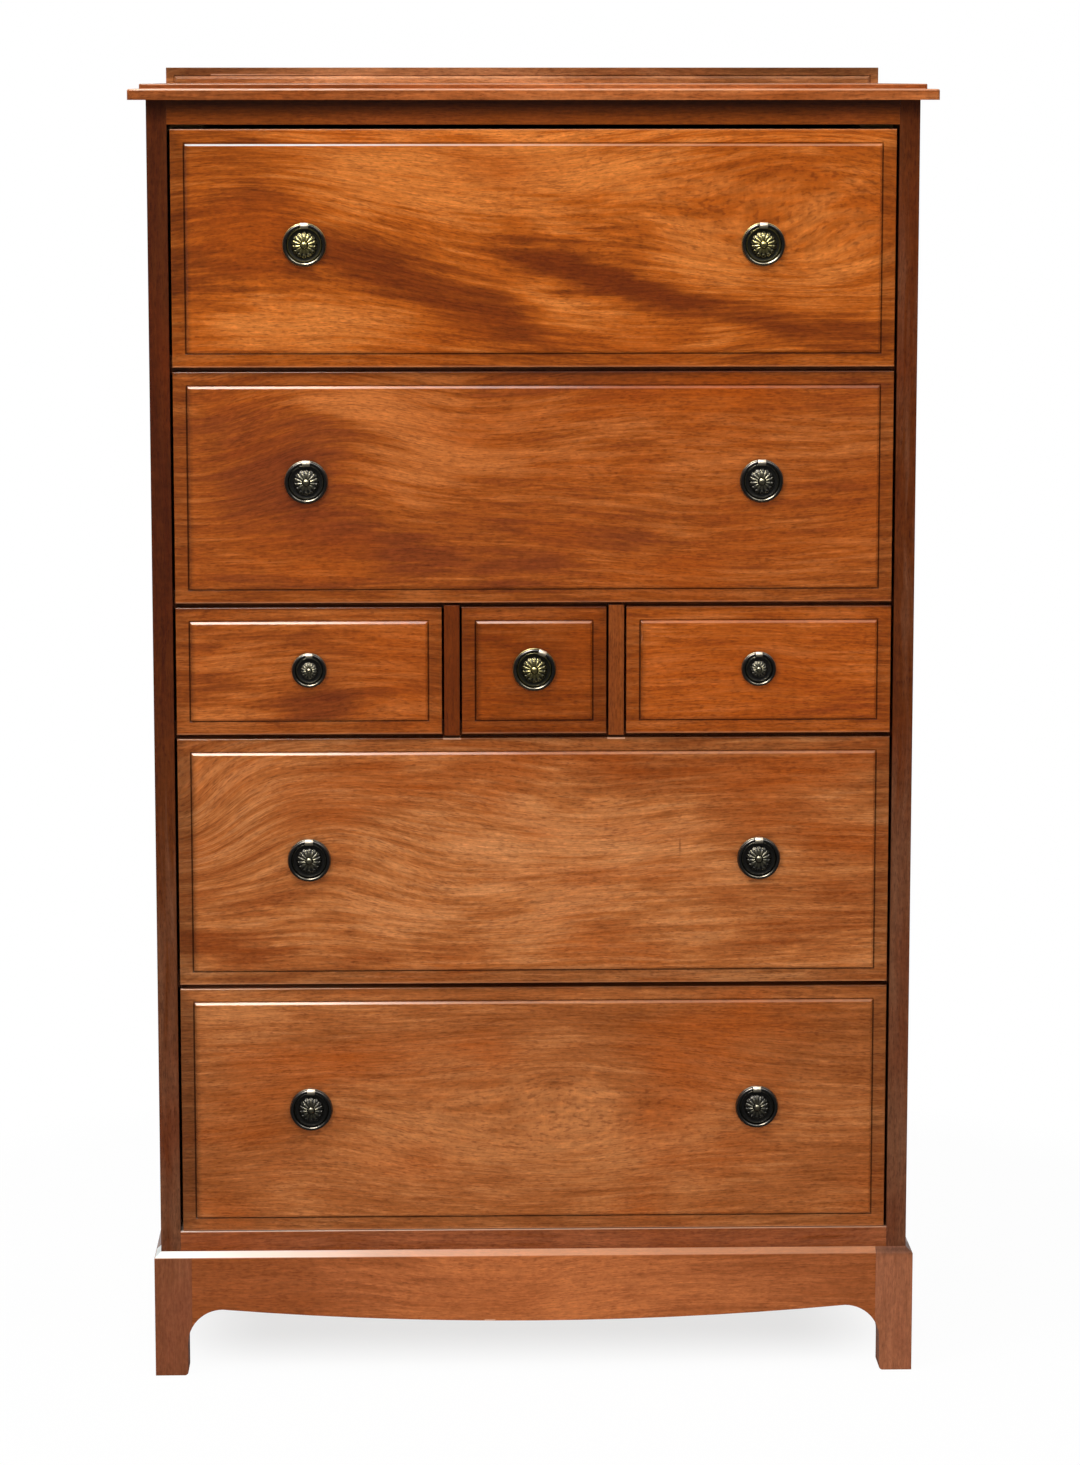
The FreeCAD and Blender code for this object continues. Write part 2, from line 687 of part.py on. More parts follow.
def small_drawers():
    reach = half_inside - end_gap
    outer = divider_centre + divider_thick / 2 + divider_gap
    inner = divider_centre - divider_thick / 2 - divider_gap
    z = z_row_small + height_small / 2 + raise_small
    middle = (reach + outer) / 2
    for name, x0, x1, x, turn, pull in (
            ("small_drawer_left", -reach, -outer, -middle, 0, SMALL),
            ("small_drawer_middle", -inner, inner, 0, middle_pull_turn, LARGE),
            ("small_drawer_right", outer, reach, middle, 0, SMALL)):
        drawer(name, x0, x1, z_row_small, height_small, [(name + "_ring", x, z, turn)], pull)


def case():
    rails = front_rails()
    rears = rear_rails()
    strips = runners()
    uprights = dividers()
    panel = back_panel()
    ledge = gallery()
    fixings = screws()
    side = side_panel(rails + rears + [panel] + fixings)
    save("side_panel_right", [side])
    save("side_panel_left", [mirrored(side)])
    save("top_board", [top_board([side, mirrored(side), ledge])])
    save("gallery", [ledge])
    save("front_rails", [rail.cut(strips + uprights).removeSplitter() for rail in rails])
    save("rear_rails", [rail.cut(strips + fixings).removeSplitter() for rail in rears])
    save("drawer_runners", strips)
    save("drawer_dividers", uprights)
    save("back_panel", [panel.cut(fixings)])
    save("wood_screws", fixings)
    aprons, posts = plinth()
    save("plinth_front", [aprons[0]])
    save("plinth_rails", aprons[1:])
    save("plinth_posts", posts)
    save("glue_blocks", glue_blocks())


os.makedirs("parts", exist_ok=True)
case()
long_drawer("drawer_bottom", z_row_bottom, height_bottom, raise_bottom)
long_drawer("drawer_fourth", z_row_fourth, height_fourth, raise_fourth)
small_drawers()
long_drawer("drawer_second", z_row_second, height_second, raise_second)
long_drawer("drawer_top", z_row_top, height_top, raise_top)
for pull in (LARGE, SMALL):
    print("ring hinge above the plate's middle", round(hinge_rise(pull), 3),
          "and off the field", round(ring_height(pull), 3))
print("top of the case", z_case_top, "front plane", y_front)
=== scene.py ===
# %% [markdown]
# # A tall mahogany chest of seven drawers
# The chest is a joiner's case: two solid sides, a stepped top with a low gallery, a curved
# plinth and seven drawers, each with one or two cast brass ring pulls. The construction comes
# packed as a fixed frame of real pieces. Here each piece gets its finish, and the cast pulls and
# the screws are modelled again in full detail.

# %% Load the frame
import json
import math
import bmesh
import bpy
from mathutils import Matrix, Vector


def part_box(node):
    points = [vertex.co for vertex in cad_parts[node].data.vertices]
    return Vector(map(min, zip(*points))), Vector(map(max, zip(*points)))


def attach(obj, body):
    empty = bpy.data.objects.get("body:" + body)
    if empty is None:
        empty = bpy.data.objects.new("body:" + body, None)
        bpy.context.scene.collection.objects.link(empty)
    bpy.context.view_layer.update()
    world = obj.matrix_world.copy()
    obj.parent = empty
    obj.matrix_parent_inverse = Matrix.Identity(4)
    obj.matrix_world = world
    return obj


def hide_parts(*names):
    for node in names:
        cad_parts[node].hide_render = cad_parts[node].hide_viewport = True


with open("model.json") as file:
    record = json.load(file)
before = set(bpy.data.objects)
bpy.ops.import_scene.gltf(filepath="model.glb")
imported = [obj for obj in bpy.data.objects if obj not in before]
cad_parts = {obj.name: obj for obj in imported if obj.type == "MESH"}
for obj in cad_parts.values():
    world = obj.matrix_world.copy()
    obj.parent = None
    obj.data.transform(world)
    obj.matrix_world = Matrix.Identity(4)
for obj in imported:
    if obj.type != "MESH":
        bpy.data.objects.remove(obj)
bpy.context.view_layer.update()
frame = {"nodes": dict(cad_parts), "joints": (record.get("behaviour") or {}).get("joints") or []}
nodes = frame["nodes"]
MM = 0.001
print("pieces in the frame:", len(nodes))


# %% [markdown]
# ## The drawers, read from the frame
# The long names repeat for each drawer, so they are listed once. A drawer's body moves out of
# the case, and each of its rings is a body of its own that swings on the pull.

# %% Name the drawers and their rings
DRAWERS = ["drawer_top", "drawer_second", "small_drawer_left", "small_drawer_middle",
           "small_drawer_right", "drawer_fourth", "drawer_bottom"]
RINGS = {drawer: sorted(n for n in nodes if n.startswith(drawer) and "_ring" in n)
         for drawer in DRAWERS}
print({drawer: len(rings) for drawer, rings in RINGS.items()})


# %% [markdown]
# ## Colours and nodes
# Colours are given as sRGB hex codes, and Blender mixes light in linear values, so one
# function turns the code into linear numbers. Another small function adds a shader or geometry
# node, sets its properties and fills its inputs with numbers or with links. The kind of node is a
# word, and the four kinds that come up most have a short name here.

# %% A colour function and a node function
def colour(code):
    """Linear RGBA from an sRGB hex code such as #a0501e."""
    channels = [int(code[i:i + 2], 16) / 255 for i in (1, 3, 5)]
    linear = [c / 12.92 if c <= 0.04045 else ((c + 0.055) / 1.055) ** 2.4 for c in channels]
    return (*linear, 1.0)


def add(tree, kind, inputs=(), **settings):
    """Add a node. inputs lists its inputs in order, or maps a socket's name or index to one.

    An input is a value, an output of another node, or a node, which stands for its first output.
    """
    node = tree.nodes.new(kind)
    for name, value in settings.items():
        setattr(node, name, value)
    for key, value in inputs.items() if isinstance(inputs, dict) else enumerate(inputs):
        if isinstance(value, bpy.types.Node):
            value = value.outputs[0]
        if isinstance(value, bpy.types.NodeSocket):
            tree.links.new(value, node.inputs[key])
        else:
            node.inputs[key].default_value = value
    return node


MATH, VECTOR = "ShaderNodeMath", "ShaderNodeVectorMath"
RANGE, MIX = "ShaderNodeMapRange", "ShaderNodeMix"
# a Mix node's sockets when it blends two colours: three inputs and its output
SHARE, FIRST, SECOND, BLEND = 0, 6, 7, 2
print("mid mahogany in linear values:", [round(c, 3) for c in colour("#a0501e")])


# %% [markdown]
# ## Noise in millimetres
# A wood pattern is a sum of noises of several sizes. One helper makes noise whose features have
# a real size, and another lets it swing about zero, so that it darkens as often as it brightens.

# %% Stretched noise
def stretched_noise(tree, place, size, detail=2.0, roughness=0.5):
    """Noise whose features are about size (x, y, z) millimetres; place is in millimetres.

    size may also be a vector output, made elsewhere in the tree.
    """
    scaled = add(tree, VECTOR, [place, size], operation="DIVIDE")
    return add(tree, "ShaderNodeTexNoise", {"Vector": scaled, "Scale": 1.0, "Detail": detail,
                                            "Roughness": roughness})


def centred(tree, noise, strength):
    """Noise moved to swing about zero, times a strength."""
    swing = add(tree, MATH, [noise, 0.5], operation="SUBTRACT")
    return add(tree, MATH, [swing, strength], operation="MULTIPLY")


print("helpers for noise:", stretched_noise.__name__, centred.__name__)


# %% [markdown]
# ## One board of wood
# A board shows the same things at several sizes: broad patches where the fibres lean and catch
# the light, streaks along the grain, a fine fibre texture, and open pores that hold stain as
# short dark dashes. The pattern is solid, so it runs through the board and its end grain shows
# on the ends. It is a node group, because every wooden piece uses it with other numbers.
# Real pores are about 0.2 mm wide; they are drawn some 0.8 mm wide, the finest that shows at
# this viewing distance.

# %% The wood pattern as a node group
def wood_group():
    group = bpy.data.node_groups.new("Wood board", "ShaderNodeTree")
    sockets = [("Vector", "NodeSocketVector"), ("Pale", "NodeSocketColor"),
               ("Middle", "NodeSocketColor"), ("Dark", "NodeSocketColor"),
               ("Red", "NodeSocketColor"), ("Pore", "NodeSocketColor"),
               ("Drift mm", "NodeSocketFloat"), ("Streak size", "NodeSocketVector"),
               ("Patch size", "NodeSocketVector"), ("Streak strength", "NodeSocketFloat"),
               ("Patch strength", "NodeSocketFloat"), ("Fibre strength", "NodeSocketFloat"),
               ("Ripple strength", "NodeSocketFloat"), ("Pore size", "NodeSocketVector"),
               ("Pore strength", "NodeSocketFloat"), ("Tone", "NodeSocketFloat"),
               ("Redness", "NodeSocketFloat"), ("Shade", "NodeSocketFloat"),
               ("Glints and wear", "NodeSocketFloat")]
    for name, kind in sockets:
        group.interface.new_socket(name, in_out="INPUT", socket_type=kind)
    group.interface.new_socket("Colour", in_out="OUTPUT", socket_type="NodeSocketColor")
    group.interface.new_socket("Height", in_out="OUTPUT", socket_type="NodeSocketFloat")
    inside = add(group, "NodeGroupInput").outputs

    # the grain wanders sideways as it runs along the board
    drift = centred(group, stretched_noise(group, inside["Vector"], (320, 130, 130)), 2.0)
    drift = add(group, MATH, [drift, inside["Drift mm"]], operation="MULTIPLY")
    sideways = add(group, "ShaderNodeCombineXYZ", {"Y": drift, "Z": drift})
    place = add(group, VECTOR, [inside["Vector"], sideways], operation="ADD")

    streak = stretched_noise(group, place, inside["Streak size"], detail=5, roughness=0.62)
    patch = stretched_noise(group, place, inside["Patch size"], detail=3)
    fibre = stretched_noise(group, place, (18, 1.6, 2.5), detail=4, roughness=0.68)
    ripple = stretched_noise(group, place, (5, 3.2, 6), detail=2, roughness=0.6)
    tone = inside["Tone"]
    for noise, strength in ((streak, "Streak strength"), (patch, "Patch strength")):
        swing = centred(group, noise, 2.0)
        swing = add(group, MATH, [swing, inside[strength]], operation="MULTIPLY")
        tone = add(group, MATH, [tone, swing], operation="ADD")
    # the hyperbolic tangent rounds off the very dark and the very pale
    tone = add(group, MATH, [tone, 2.1], operation="MULTIPLY")
    tone = add(group, MATH, [tone], operation="TANH")
    low = add(group, MATH, [tone, 1.0], operation="ADD", use_clamp=True)
    high = add(group, MATH, [tone, 1.0], operation="MULTIPLY", use_clamp=True)
    shade = add(group, MIX, {SHARE: low, FIRST: inside["Dark"], SECOND: inside["Middle"]},
                data_type="RGBA").outputs[BLEND]
    shade = add(group, MIX, {SHARE: high, FIRST: shade, SECOND: inside["Pale"]},
                data_type="RGBA").outputs[BLEND]

    flush = centred(group, stretched_noise(group, place, (140, 60, 60)), 2.2)
    flush = add(group, MATH, [flush, inside["Redness"]], operation="ADD", use_clamp=True)
    shade = add(group, MIX, {SHARE: flush, FIRST: shade, SECOND: inside["Red"]},
                data_type="RGBA").outputs[BLEND]

    pore = stretched_noise(group, place, inside["Pore size"], detail=1)
    crowd = centred(group, stretched_noise(group, place, (50, 16, 22)), 0.3)
    pore = add(group, MATH, [pore, crowd], operation="ADD")
    pore = add(group, RANGE, {"Value": pore, "From Min": 0.55, "From Max": 0.68})
    stained = add(group, MATH, [pore, inside["Pore strength"]], operation="MULTIPLY")
    shade = add(group, MIX, {SHARE: stained, FIRST: shade, SECOND: inside["Pore"]},
                data_type="RGBA").outputs[BLEND]
    fine = inside["Shade"]
    for noise, strength in ((fibre, "Fibre strength"), (ripple, "Ripple strength")):
        swing = centred(group, noise, 2.0)
        swing = add(group, MATH, [swing, inside[strength]], operation="MULTIPLY")
        swing = add(group, MATH, [swing, 1.0], operation="ADD")
        fine = add(group, MATH, [fine, swing], operation="MULTIPLY")
    shade = add(group, VECTOR, {0: shade, 3: fine}, operation="SCALE")
    # painted highlights along edges, and one real nick, are mixed in: a weak one is orange, the
    # strongest a chalky white
    bare = add(group, MATH, [inside["Glints and wear"], 2.0], operation="POWER")
    rubbed = add(group, MIX, {SHARE: bare, FIRST: colour("#ffb784"), SECOND: colour("#e9eeec")},
                 data_type="RGBA").outputs[BLEND]
    shade = add(group, MIX, {SHARE: inside["Glints and wear"], FIRST: shade, SECOND: rubbed},
                data_type="RGBA").outputs[BLEND]
    height = add(group, MATH, [fibre, 0.35], operation="MULTIPLY")
    height = add(group, MATH, [pore, -1.0, height], operation="MULTIPLY_ADD")
    add(group, "NodeGroupOutput", {"Colour": shade, "Height": height})
    return group


WOOD = wood_group()
print("wood pattern has", len(WOOD.nodes), "nodes")


# %% [markdown]
# ## Grain runs along a piece
# The pattern is drawn with its grain along its own X and its finest lines across its Y. To lay
# it along a rail, up a post or through a drawer side, the object's coordinates are reordered,
# turned into millimetres and moved by an offset of their own, so that no two boards show the
# same figure. A wide board names its wide direction second: up a side panel and across its
# depth, or along the top and across its depth.

# %% Reorder the object's coordinates along the grain
GRAIN_ORDER = {"across": "XZY", "upright": "ZXY", "front_to_back": "YZX",
               "wide_across": "XYZ", "wide_upright": "ZYX"}


def along_grain(tree, grain, offset):
    """Object coordinates in millimetres, with X along the grain."""
    place = add(tree, "ShaderNodeTexCoord").outputs["Object"]
    axes = add(tree, "ShaderNodeSeparateXYZ", [place]).outputs
    turned = add(tree, "ShaderNodeCombineXYZ", [axes[axis] for axis in GRAIN_ORDER[grain]])
    return add(tree, VECTOR, [turned, (1 / MM,) * 3, offset], operation="MULTIPLY_ADD")


print("grain orders:", GRAIN_ORDER)


# %% [markdown]
# ## Finished wood
# Every wooden piece goes through one function. A lacquered board has a clear coat over a satin
# body, so it mirrors the lights softly; a bare inner board has none and stays dull. The pores
# dent the surface a little, and the sharp corners are eased by the sandpaper.

# %% A wooden material
MAHOGANY = {"Pale": "#c47427", "Middle": "#a45215", "Dark": "#6f2b06", "Red": "#a04808",
            "Pore": "#531a06", "Drift mm": 14.0, "Streak size": (80, 5, 26),
            "Patch size": (80, 30, 50), "Streak strength": 0.8, "Patch strength": 0.45,
            "Fibre strength": 0.75, "Ripple strength": 0.3, "Pore size": (6, 0.95, 0.95),
            "Pore strength": 0.38, "Tone": 0.0, "Redness": 0.0, "Shade": 1.0, "Glints and wear": 0.0}
EASED = 0.9          # millimetres over which a corner looks rounded


def empty_material(name):
    """A new material without nodes, and its node tree."""
    material = bpy.data.materials.new(name)
    material.use_nodes = True
    material.node_tree.nodes.clear()
    return material, material.node_tree


def wood(name, grain, offset, lacquer=0.8, roughness=0.45, depth=0.05, shaped=None, **numbers):
    """A wooden material.

    shaped, if given, is a function (tree, place) that returns a bent place and more inputs.
    """
    material, tree = empty_material(name)
    place = along_grain(tree, grain, offset)
    extra = {}
    if shaped:
        place, extra = shaped(tree, place)
    inputs = {"Vector": place, **MAHOGANY, **numbers, **extra}
    inputs = {key: colour(v) if isinstance(v, str) else v for key, v in inputs.items()}
    board = add(tree, "ShaderNodeGroup", inputs, node_tree=WOOD).outputs
    eased = add(tree, "ShaderNodeBevel", {"Radius": EASED * MM}, samples=4)
    bump = add(tree, "ShaderNodeBump", {"Strength": 0.5, "Distance": depth * MM,
                                        "Height": board["Height"], "Normal": eased})
    shader = add(tree, "ShaderNodeBsdfPrincipled",
                 {"Base Color": board["Colour"], "Roughness": roughness,
                  "Specular IOR Level": 0.06, "Coat Weight": lacquer, "Coat Roughness": 0.11,
                  "Normal": bump, "Coat Normal": eased})
    add(tree, "ShaderNodeOutputMaterial", {"Surface": shader})
    return material


def finish_node(name, material):
    """Give a piece of the frame its finish."""
    for slot in nodes[name].material_slots:
        slot.material = material


print("a board's look is set by", len(MAHOGANY), "numbers and colours")


# %% [markdown]
# ## Figure in the drawer fronts
# The fronts are cut from figured boards. Around a fork or a knot the grain bends, and where the
# fibres lean the board looks darker, paler or redder. A bend lifts the grain lines over a soft
# oval spot. Soft spots also shift the tone; their edges are made ragged with noise, so that they
# look grown. Every spot is x and z from the middle of the front, its half length, half height
# and tilt in degrees, in millimetres, and last its strength.

# %% Soft spots
def spot_group():
    """exp(-r^2) of an oval spot, tilted about its middle."""
    group = bpy.data.node_groups.new("Soft spot", "ShaderNodeTree")
    for name in ("Place", "Middle", "Spread"):
        group.interface.new_socket(name, in_out="INPUT", socket_type="NodeSocketVector")
    group.interface.new_socket("Tilt", in_out="INPUT", socket_type="NodeSocketFloat")
    group.interface.new_socket("Spot", in_out="OUTPUT", socket_type="NodeSocketFloat")
    inside = add(group, "NodeGroupInput").outputs
    apart = add(group, VECTOR, [inside["Place"], inside["Middle"]], operation="SUBTRACT")
    turned = add(group, "ShaderNodeVectorRotate", {"Vector": apart, "Angle": inside["Tilt"]},
                 rotation_type="Z_AXIS", invert=True)
    share = add(group, VECTOR, [turned, inside["Spread"]], operation="DIVIDE")
    square = add(group, VECTOR, [share, share], operation="DOT_PRODUCT").outputs["Value"]
    fall = add(group, MATH, [square, -1.0], operation="MULTIPLY")
    fall = add(group, MATH, [fall], operation="EXPONENT")
    add(group, "NodeGroupOutput", {"Spot": fall})
    return group


SPOT = spot_group()
THROUGH = 10000.0    # a spot goes right through the board


def spots(tree, place, rows):
    """The sum of some soft spots, each (x, z, half length, half height, tilt, strength)."""
    total = 0.0
    for x, z, wide, high, tilt, strength in rows:
        spot = add(tree, "ShaderNodeGroup", {
            "Place": place, "Middle": (x, z, 0), "Spread": (wide, high, THROUGH),
            "Tilt": math.radians(tilt)}, node_tree=SPOT)
        total = add(tree, MATH, [spot, strength, total], operation="MULTIPLY_ADD")
    return total


def ragged(tree, place, size, reach):
    """A place moved about by noise, by up to about reach millimetres."""
    noise = stretched_noise(tree, place, size, detail=3.0, roughness=0.55).outputs["Color"]
    swing = add(tree, VECTOR, [noise, (0.5, 0.5, 0.5)], operation="SUBTRACT")
    return add(tree, VECTOR, [swing, (2 * reach, reach, 0), place], operation="MULTIPLY_ADD")


print("a soft spot is a group of", len(SPOT.nodes), "nodes")


# %% [markdown]
# ## Painted highlights along edges
# Pale strips painted along edges that face the lights stand in for the glints there, brightest
# at one end; one strip is instead a real nick. A strip is a band across one axis of the board,
# and its level goes from one value to another along the other axis.

# %% Painted highlight strips
def between(tree, value, low, high, soft=0.3):
    """1 between low and high and 0 outside them, with soft edges."""
    away = add(tree, MATH, [value, (low + high) / 2], operation="SUBTRACT")
    away = add(tree, MATH, [away], operation="ABSOLUTE")
    half = (high - low) / 2
    return add(tree, RANGE, {"Value": away, "From Min": half - soft, "From Max": half + soft,
                             "To Min": 1.0, "To Max": 0.0})


def highlight_and_wear_strip(tree, axes, axis, band, fade, level, ends=None):
    """The level of a painted highlight along an edge, also used for a nick: over fade it goes from
    one level to the other, between its ends.
    """
    along = axes[1 if axis == 0 else 0]
    strip = add(tree, RANGE, {"Value": along, "From Min": fade[0], "From Max": fade[1],
                              "To Min": level[0], "To Max": level[1]})
    strip = add(tree, MATH, [strip, between(tree, axes[axis], *band)], operation="MULTIPLY")
    if ends:
        strip = add(tree, MATH, [strip, between(tree, along, *ends)], operation="MULTIPLY")
    return strip


print("helpers for rubbed edges:", between.__name__, highlight_and_wear_strip.__name__)


# %% [markdown]
# ## The raised field of a front
# Each front has a raised field with a narrow groove and a bevel around it, and a flat border
# outside. Shade is painted into the groove, lightest along its top, and onto the field's left
# bevel. The border is darker or paler than the field, partly its own stain and partly painted
# light: painted shade on its sides, and painted light on the top drawer's top border. All of
# this only darkens or brightens the board, so one function works it out as a shade from how far
# a place lies beyond the field's edge.

# %% Shade around a raised field
BORDER = 12.6        # width of the flat border around a front's raised field
QUIRK = 0.8          # width of the groove around the field
MITRE = 9.0          # how softly the border's ends turn into its sides


def field_shade(tree, place, axes, field, border):
    """field is the field's half width and half height; border is as figure has it."""
    beyond = add(tree, VECTOR, [place], operation="ABSOLUTE")
    beyond = add(tree, VECTOR, [beyond, (*field, 0)], operation="SUBTRACT")
    beyond = add(tree, "ShaderNodeSeparateXYZ", [beyond]).outputs
    at_end = add(tree, MATH, [beyond[0], beyond[1]], operation="SUBTRACT")
    at_end = add(tree, RANGE, {"Value": at_end, "From Min": -MITRE, "From Max": MITRE})
    right = add(tree, MATH, [axes[0], 0.0], operation="GREATER_THAN")
    end = add(tree, MATH, [right, border[1] - border[0], border[0]], operation="MULTIPLY_ADD")
    upper = add(tree, MATH, [axes[1], 0.0], operation="GREATER_THAN")
    side = add(tree, MATH, [upper, border[3] - border[2], border[2]], operation="MULTIPLY_ADD")
    beyond = add(tree, MATH, [beyond[0], beyond[1]], operation="MAXIMUM")
    # painted shade in the groove, lightest along the top
    groove_shade_by_side = add(tree, RANGE, {"Value": axes[1], "From Min": field[1] - 3.0,
                              "From Max": field[1], "To Min": 0.4, "To Max": 0.85})
    groove = add(tree, MATH, [beyond, QUIRK / 2], operation="SUBTRACT")
    groove = add(tree, MATH, [groove], operation="ABSOLUTE")
    groove = add(tree, RANGE, {"Value": groove, "From Min": 0.4, "From Max": 1.1,
                               "To Min": groove_shade_by_side, "To Max": 1.0})
    # painted shade on the left bevel of each field
    left_bevel_painted_shade = add(tree, RANGE, {"Value": axes[0], "From Min": -field[0],
                              "From Max": 5.5 - field[0], "To Min": 0.55, "To Max": 1.0})
    # the flat border is darker or paler than the field, its ends apart from its sides: partly its
    # own stain, partly painted shade on its sides and painted light on the top drawer's top
    end = add(tree, MATH, [at_end, end], operation="MULTIPLY")
    not_end = add(tree, MATH, [1.0, at_end], operation="SUBTRACT")
    side = add(tree, MATH, [not_end, side], operation="MULTIPLY")
    border_stain_and_shade = add(tree, MATH, [end, side], operation="ADD")
    border_stain_and_shade = add(tree, RANGE, {"Value": beyond, "From Min": 0.0, "From Max": 1.0,
                              "To Min": left_bevel_painted_shade, "To Max": border_stain_and_shade})
    return add(tree, MATH, [groove, border_stain_and_shade], operation="MULTIPLY")


print("a border is", BORDER, "mm wide and its groove", QUIRK, "mm")


# %% [markdown]
# ## The figure of one board
# The wood group takes the bent place, the tone, the redness, the shade, and the painted
# highlights with the wear. This function puts them together from lists of spots and strips, so
# that a board's whole figure is a few rows of numbers.

# %% A board's figure
def figure(tones=(), reds=(), bends=(), seed=0.0, field=None, border=(1, 1, 1, 1), wear_and_glints=(),
           shades=()):
    """The figure of one board.

    field is the half width and half height of a front's field, border the shade of the flat
    border at the left, right, bottom and top, partly painted shade and light. The strips list
    painted highlights along edges, and one nick, each a dict for the strip function. shades lists
    spots that darken or brighten the board, with crisp outlines; several are painted shade.
    """
    def shaped(tree, place):
        loose = ragged(tree, place, (95, 24, 50), 40)
        lift = add(tree, MATH, [spots(tree, place, bends), -1.0], operation="MULTIPLY")
        shift = add(tree, "ShaderNodeCombineXYZ", {"X": seed, "Y": lift, "Z": 0.71 * seed})
        bent = add(tree, VECTOR, [place, shift], operation="ADD")
        axes = add(tree, "ShaderNodeSeparateXYZ", [place]).outputs
        # painted highlights along edges, and one nick, taking the strongest strip at each place
        rubbed = 0.0
        for row in wear_and_glints:
            strip = highlight_and_wear_strip(tree, axes, **row)
            rubbed = add(tree, MATH, [rubbed, strip], operation="MAXIMUM")
        shade = add(tree, MATH, [spots(tree, place, shades), 1.0], operation="ADD")
        if field:
            around = field_shade(tree, place, axes, field, border)
            shade = add(tree, MATH, [shade, around], operation="MULTIPLY")
        return bent, {"Tone": spots(tree, loose, tones), "Redness": spots(tree, loose, reds),
                      "Glints and wear": rubbed, "Shade": shade}
    return shaped


print("helper for a whole board:", figure.__name__)


# %% [markdown]
# ## The seven fronts, board by board
# The figure could be a painted picture laid on the board, but a picture blurs close by and stops
# at the board's edge. Here each front is a short list instead: where the grain bends, where the
# board is darker, paler or redder, how dark or pale its border is, where painted highlights lie
# along its edges, and where painted shade lies along its top edge. The long drawers have bold
# flames and the small ones a quiet figure, cut from plainer wood.

# %% The two upper fronts
# bevel and edge place painted highlights, and the border's values are partly painted shade and
# light; the second drawer's first shades row is painted shade under the gap above its top edge
FRONTS = {
    "drawer_top": dict(
        seed=130.0, border=(0.62, 0.72, 0.85, 1.2),
        bevel=((-200, 120), (1.0, 0.38)), edge=((-300, 300), (0.35, 0.2)),
        shades=[(-295, 100, 60, 30, 0, -0.3)],
        Pale="#cf7934", Middle="#aa5412", Dark="#6a2a06",
        bends=[(-250, 30, 120, 60, 0, 34), (60, -60, 150, 60, -12, -22),
               (235, 88, 150, 42, 0, 26), (250, -22, 150, 44, -8, -34)],
        tones=[(-130, 62, 110, 42, -5, 0.40), (10, 65, 90, 42, 0, 0.33),
               (100, 75, 60, 34, 10, 0.28), (-245, 38, 45, 42, 0, -0.45),
               (-205, -8, 70, 24, -10, -0.40), (-290, -30, 40, 50, 0, -0.36),
               (-130, -15, 70, 24, -20, -0.42), (-75, -45, 70, 24, -25, -0.46),
               (-20, -72, 60, 18, -15, -0.42), (-5, -2, 50, 14, -25, -0.34),
               (45, -22, 50, 16, -25, -0.62), (105, -40, 65, 13, -15, -0.70),
               (190, -56, 80, 12, -8, -0.45), (265, -72, 70, 13, -8, -0.42),
               (-230, -70, 95, 20, 0, 0.50), (150, -6, 60, 18, -20, 0.22),
               (240, -25, 80, 35, -10, 0.16), (30, -50, 80, 12, -20, 0.3),
               (240, 60, 80, 30, 0, 0.08)],
        reds=[(215, 60, 100, 45, 0, 0.4), (-220, 10, 60, 50, 0, 0.4), (0, -70, 120, 25, -12, 0.4)],
        **{"Streak strength": 0.95}),
    "drawer_second": dict(
        seed=330.0, border=(0.73, 0.7, 0.84, 0.8), bevel=((-280, 20), (0.35, 0.08)),
        shades=[(0, 104, 5000, 4, 0, -0.55)],
        Pale="#bf6d32", Middle="#994c15", Dark="#723113",
        bends=[(-300, 40, 80, 60, 0, -26), (-170, 20, 80, 60, 0, 20), (-60, 60, 90, 60, 0, -12),
               (150, -30, 120, 50, 0, -16)],
        tones=[(-145, 78, 70, 22, -12, 0.46), (-105, 45, 60, 34, -30, 0.34),
               (-228, 20, 50, 50, 0, -0.5), (-175, -42, 60, 36, -15, -0.5),
               (-275, 55, 40, 40, 0, -0.2), (-50, 30, 60, 30, 0, 0.2),
               (-60, -62, 70, 28, 0, -0.26), (40, -50, 90, 28, 0, -0.16),
               (60, 92, 120, 12, 0, -0.36), (230, 92, 90, 11, 0, -0.26),
               (-115, 5, 40, 30, 0, 0.2), (180, 28, 110, 30, 5, 0.22)],
        reds=[(120, 85, 200, 25, 0, 0.45), (-180, -50, 80, 35, 0, 0.4)],
        **{"Streak strength": 0.95}),
}
print("fronts:", list(FRONTS))


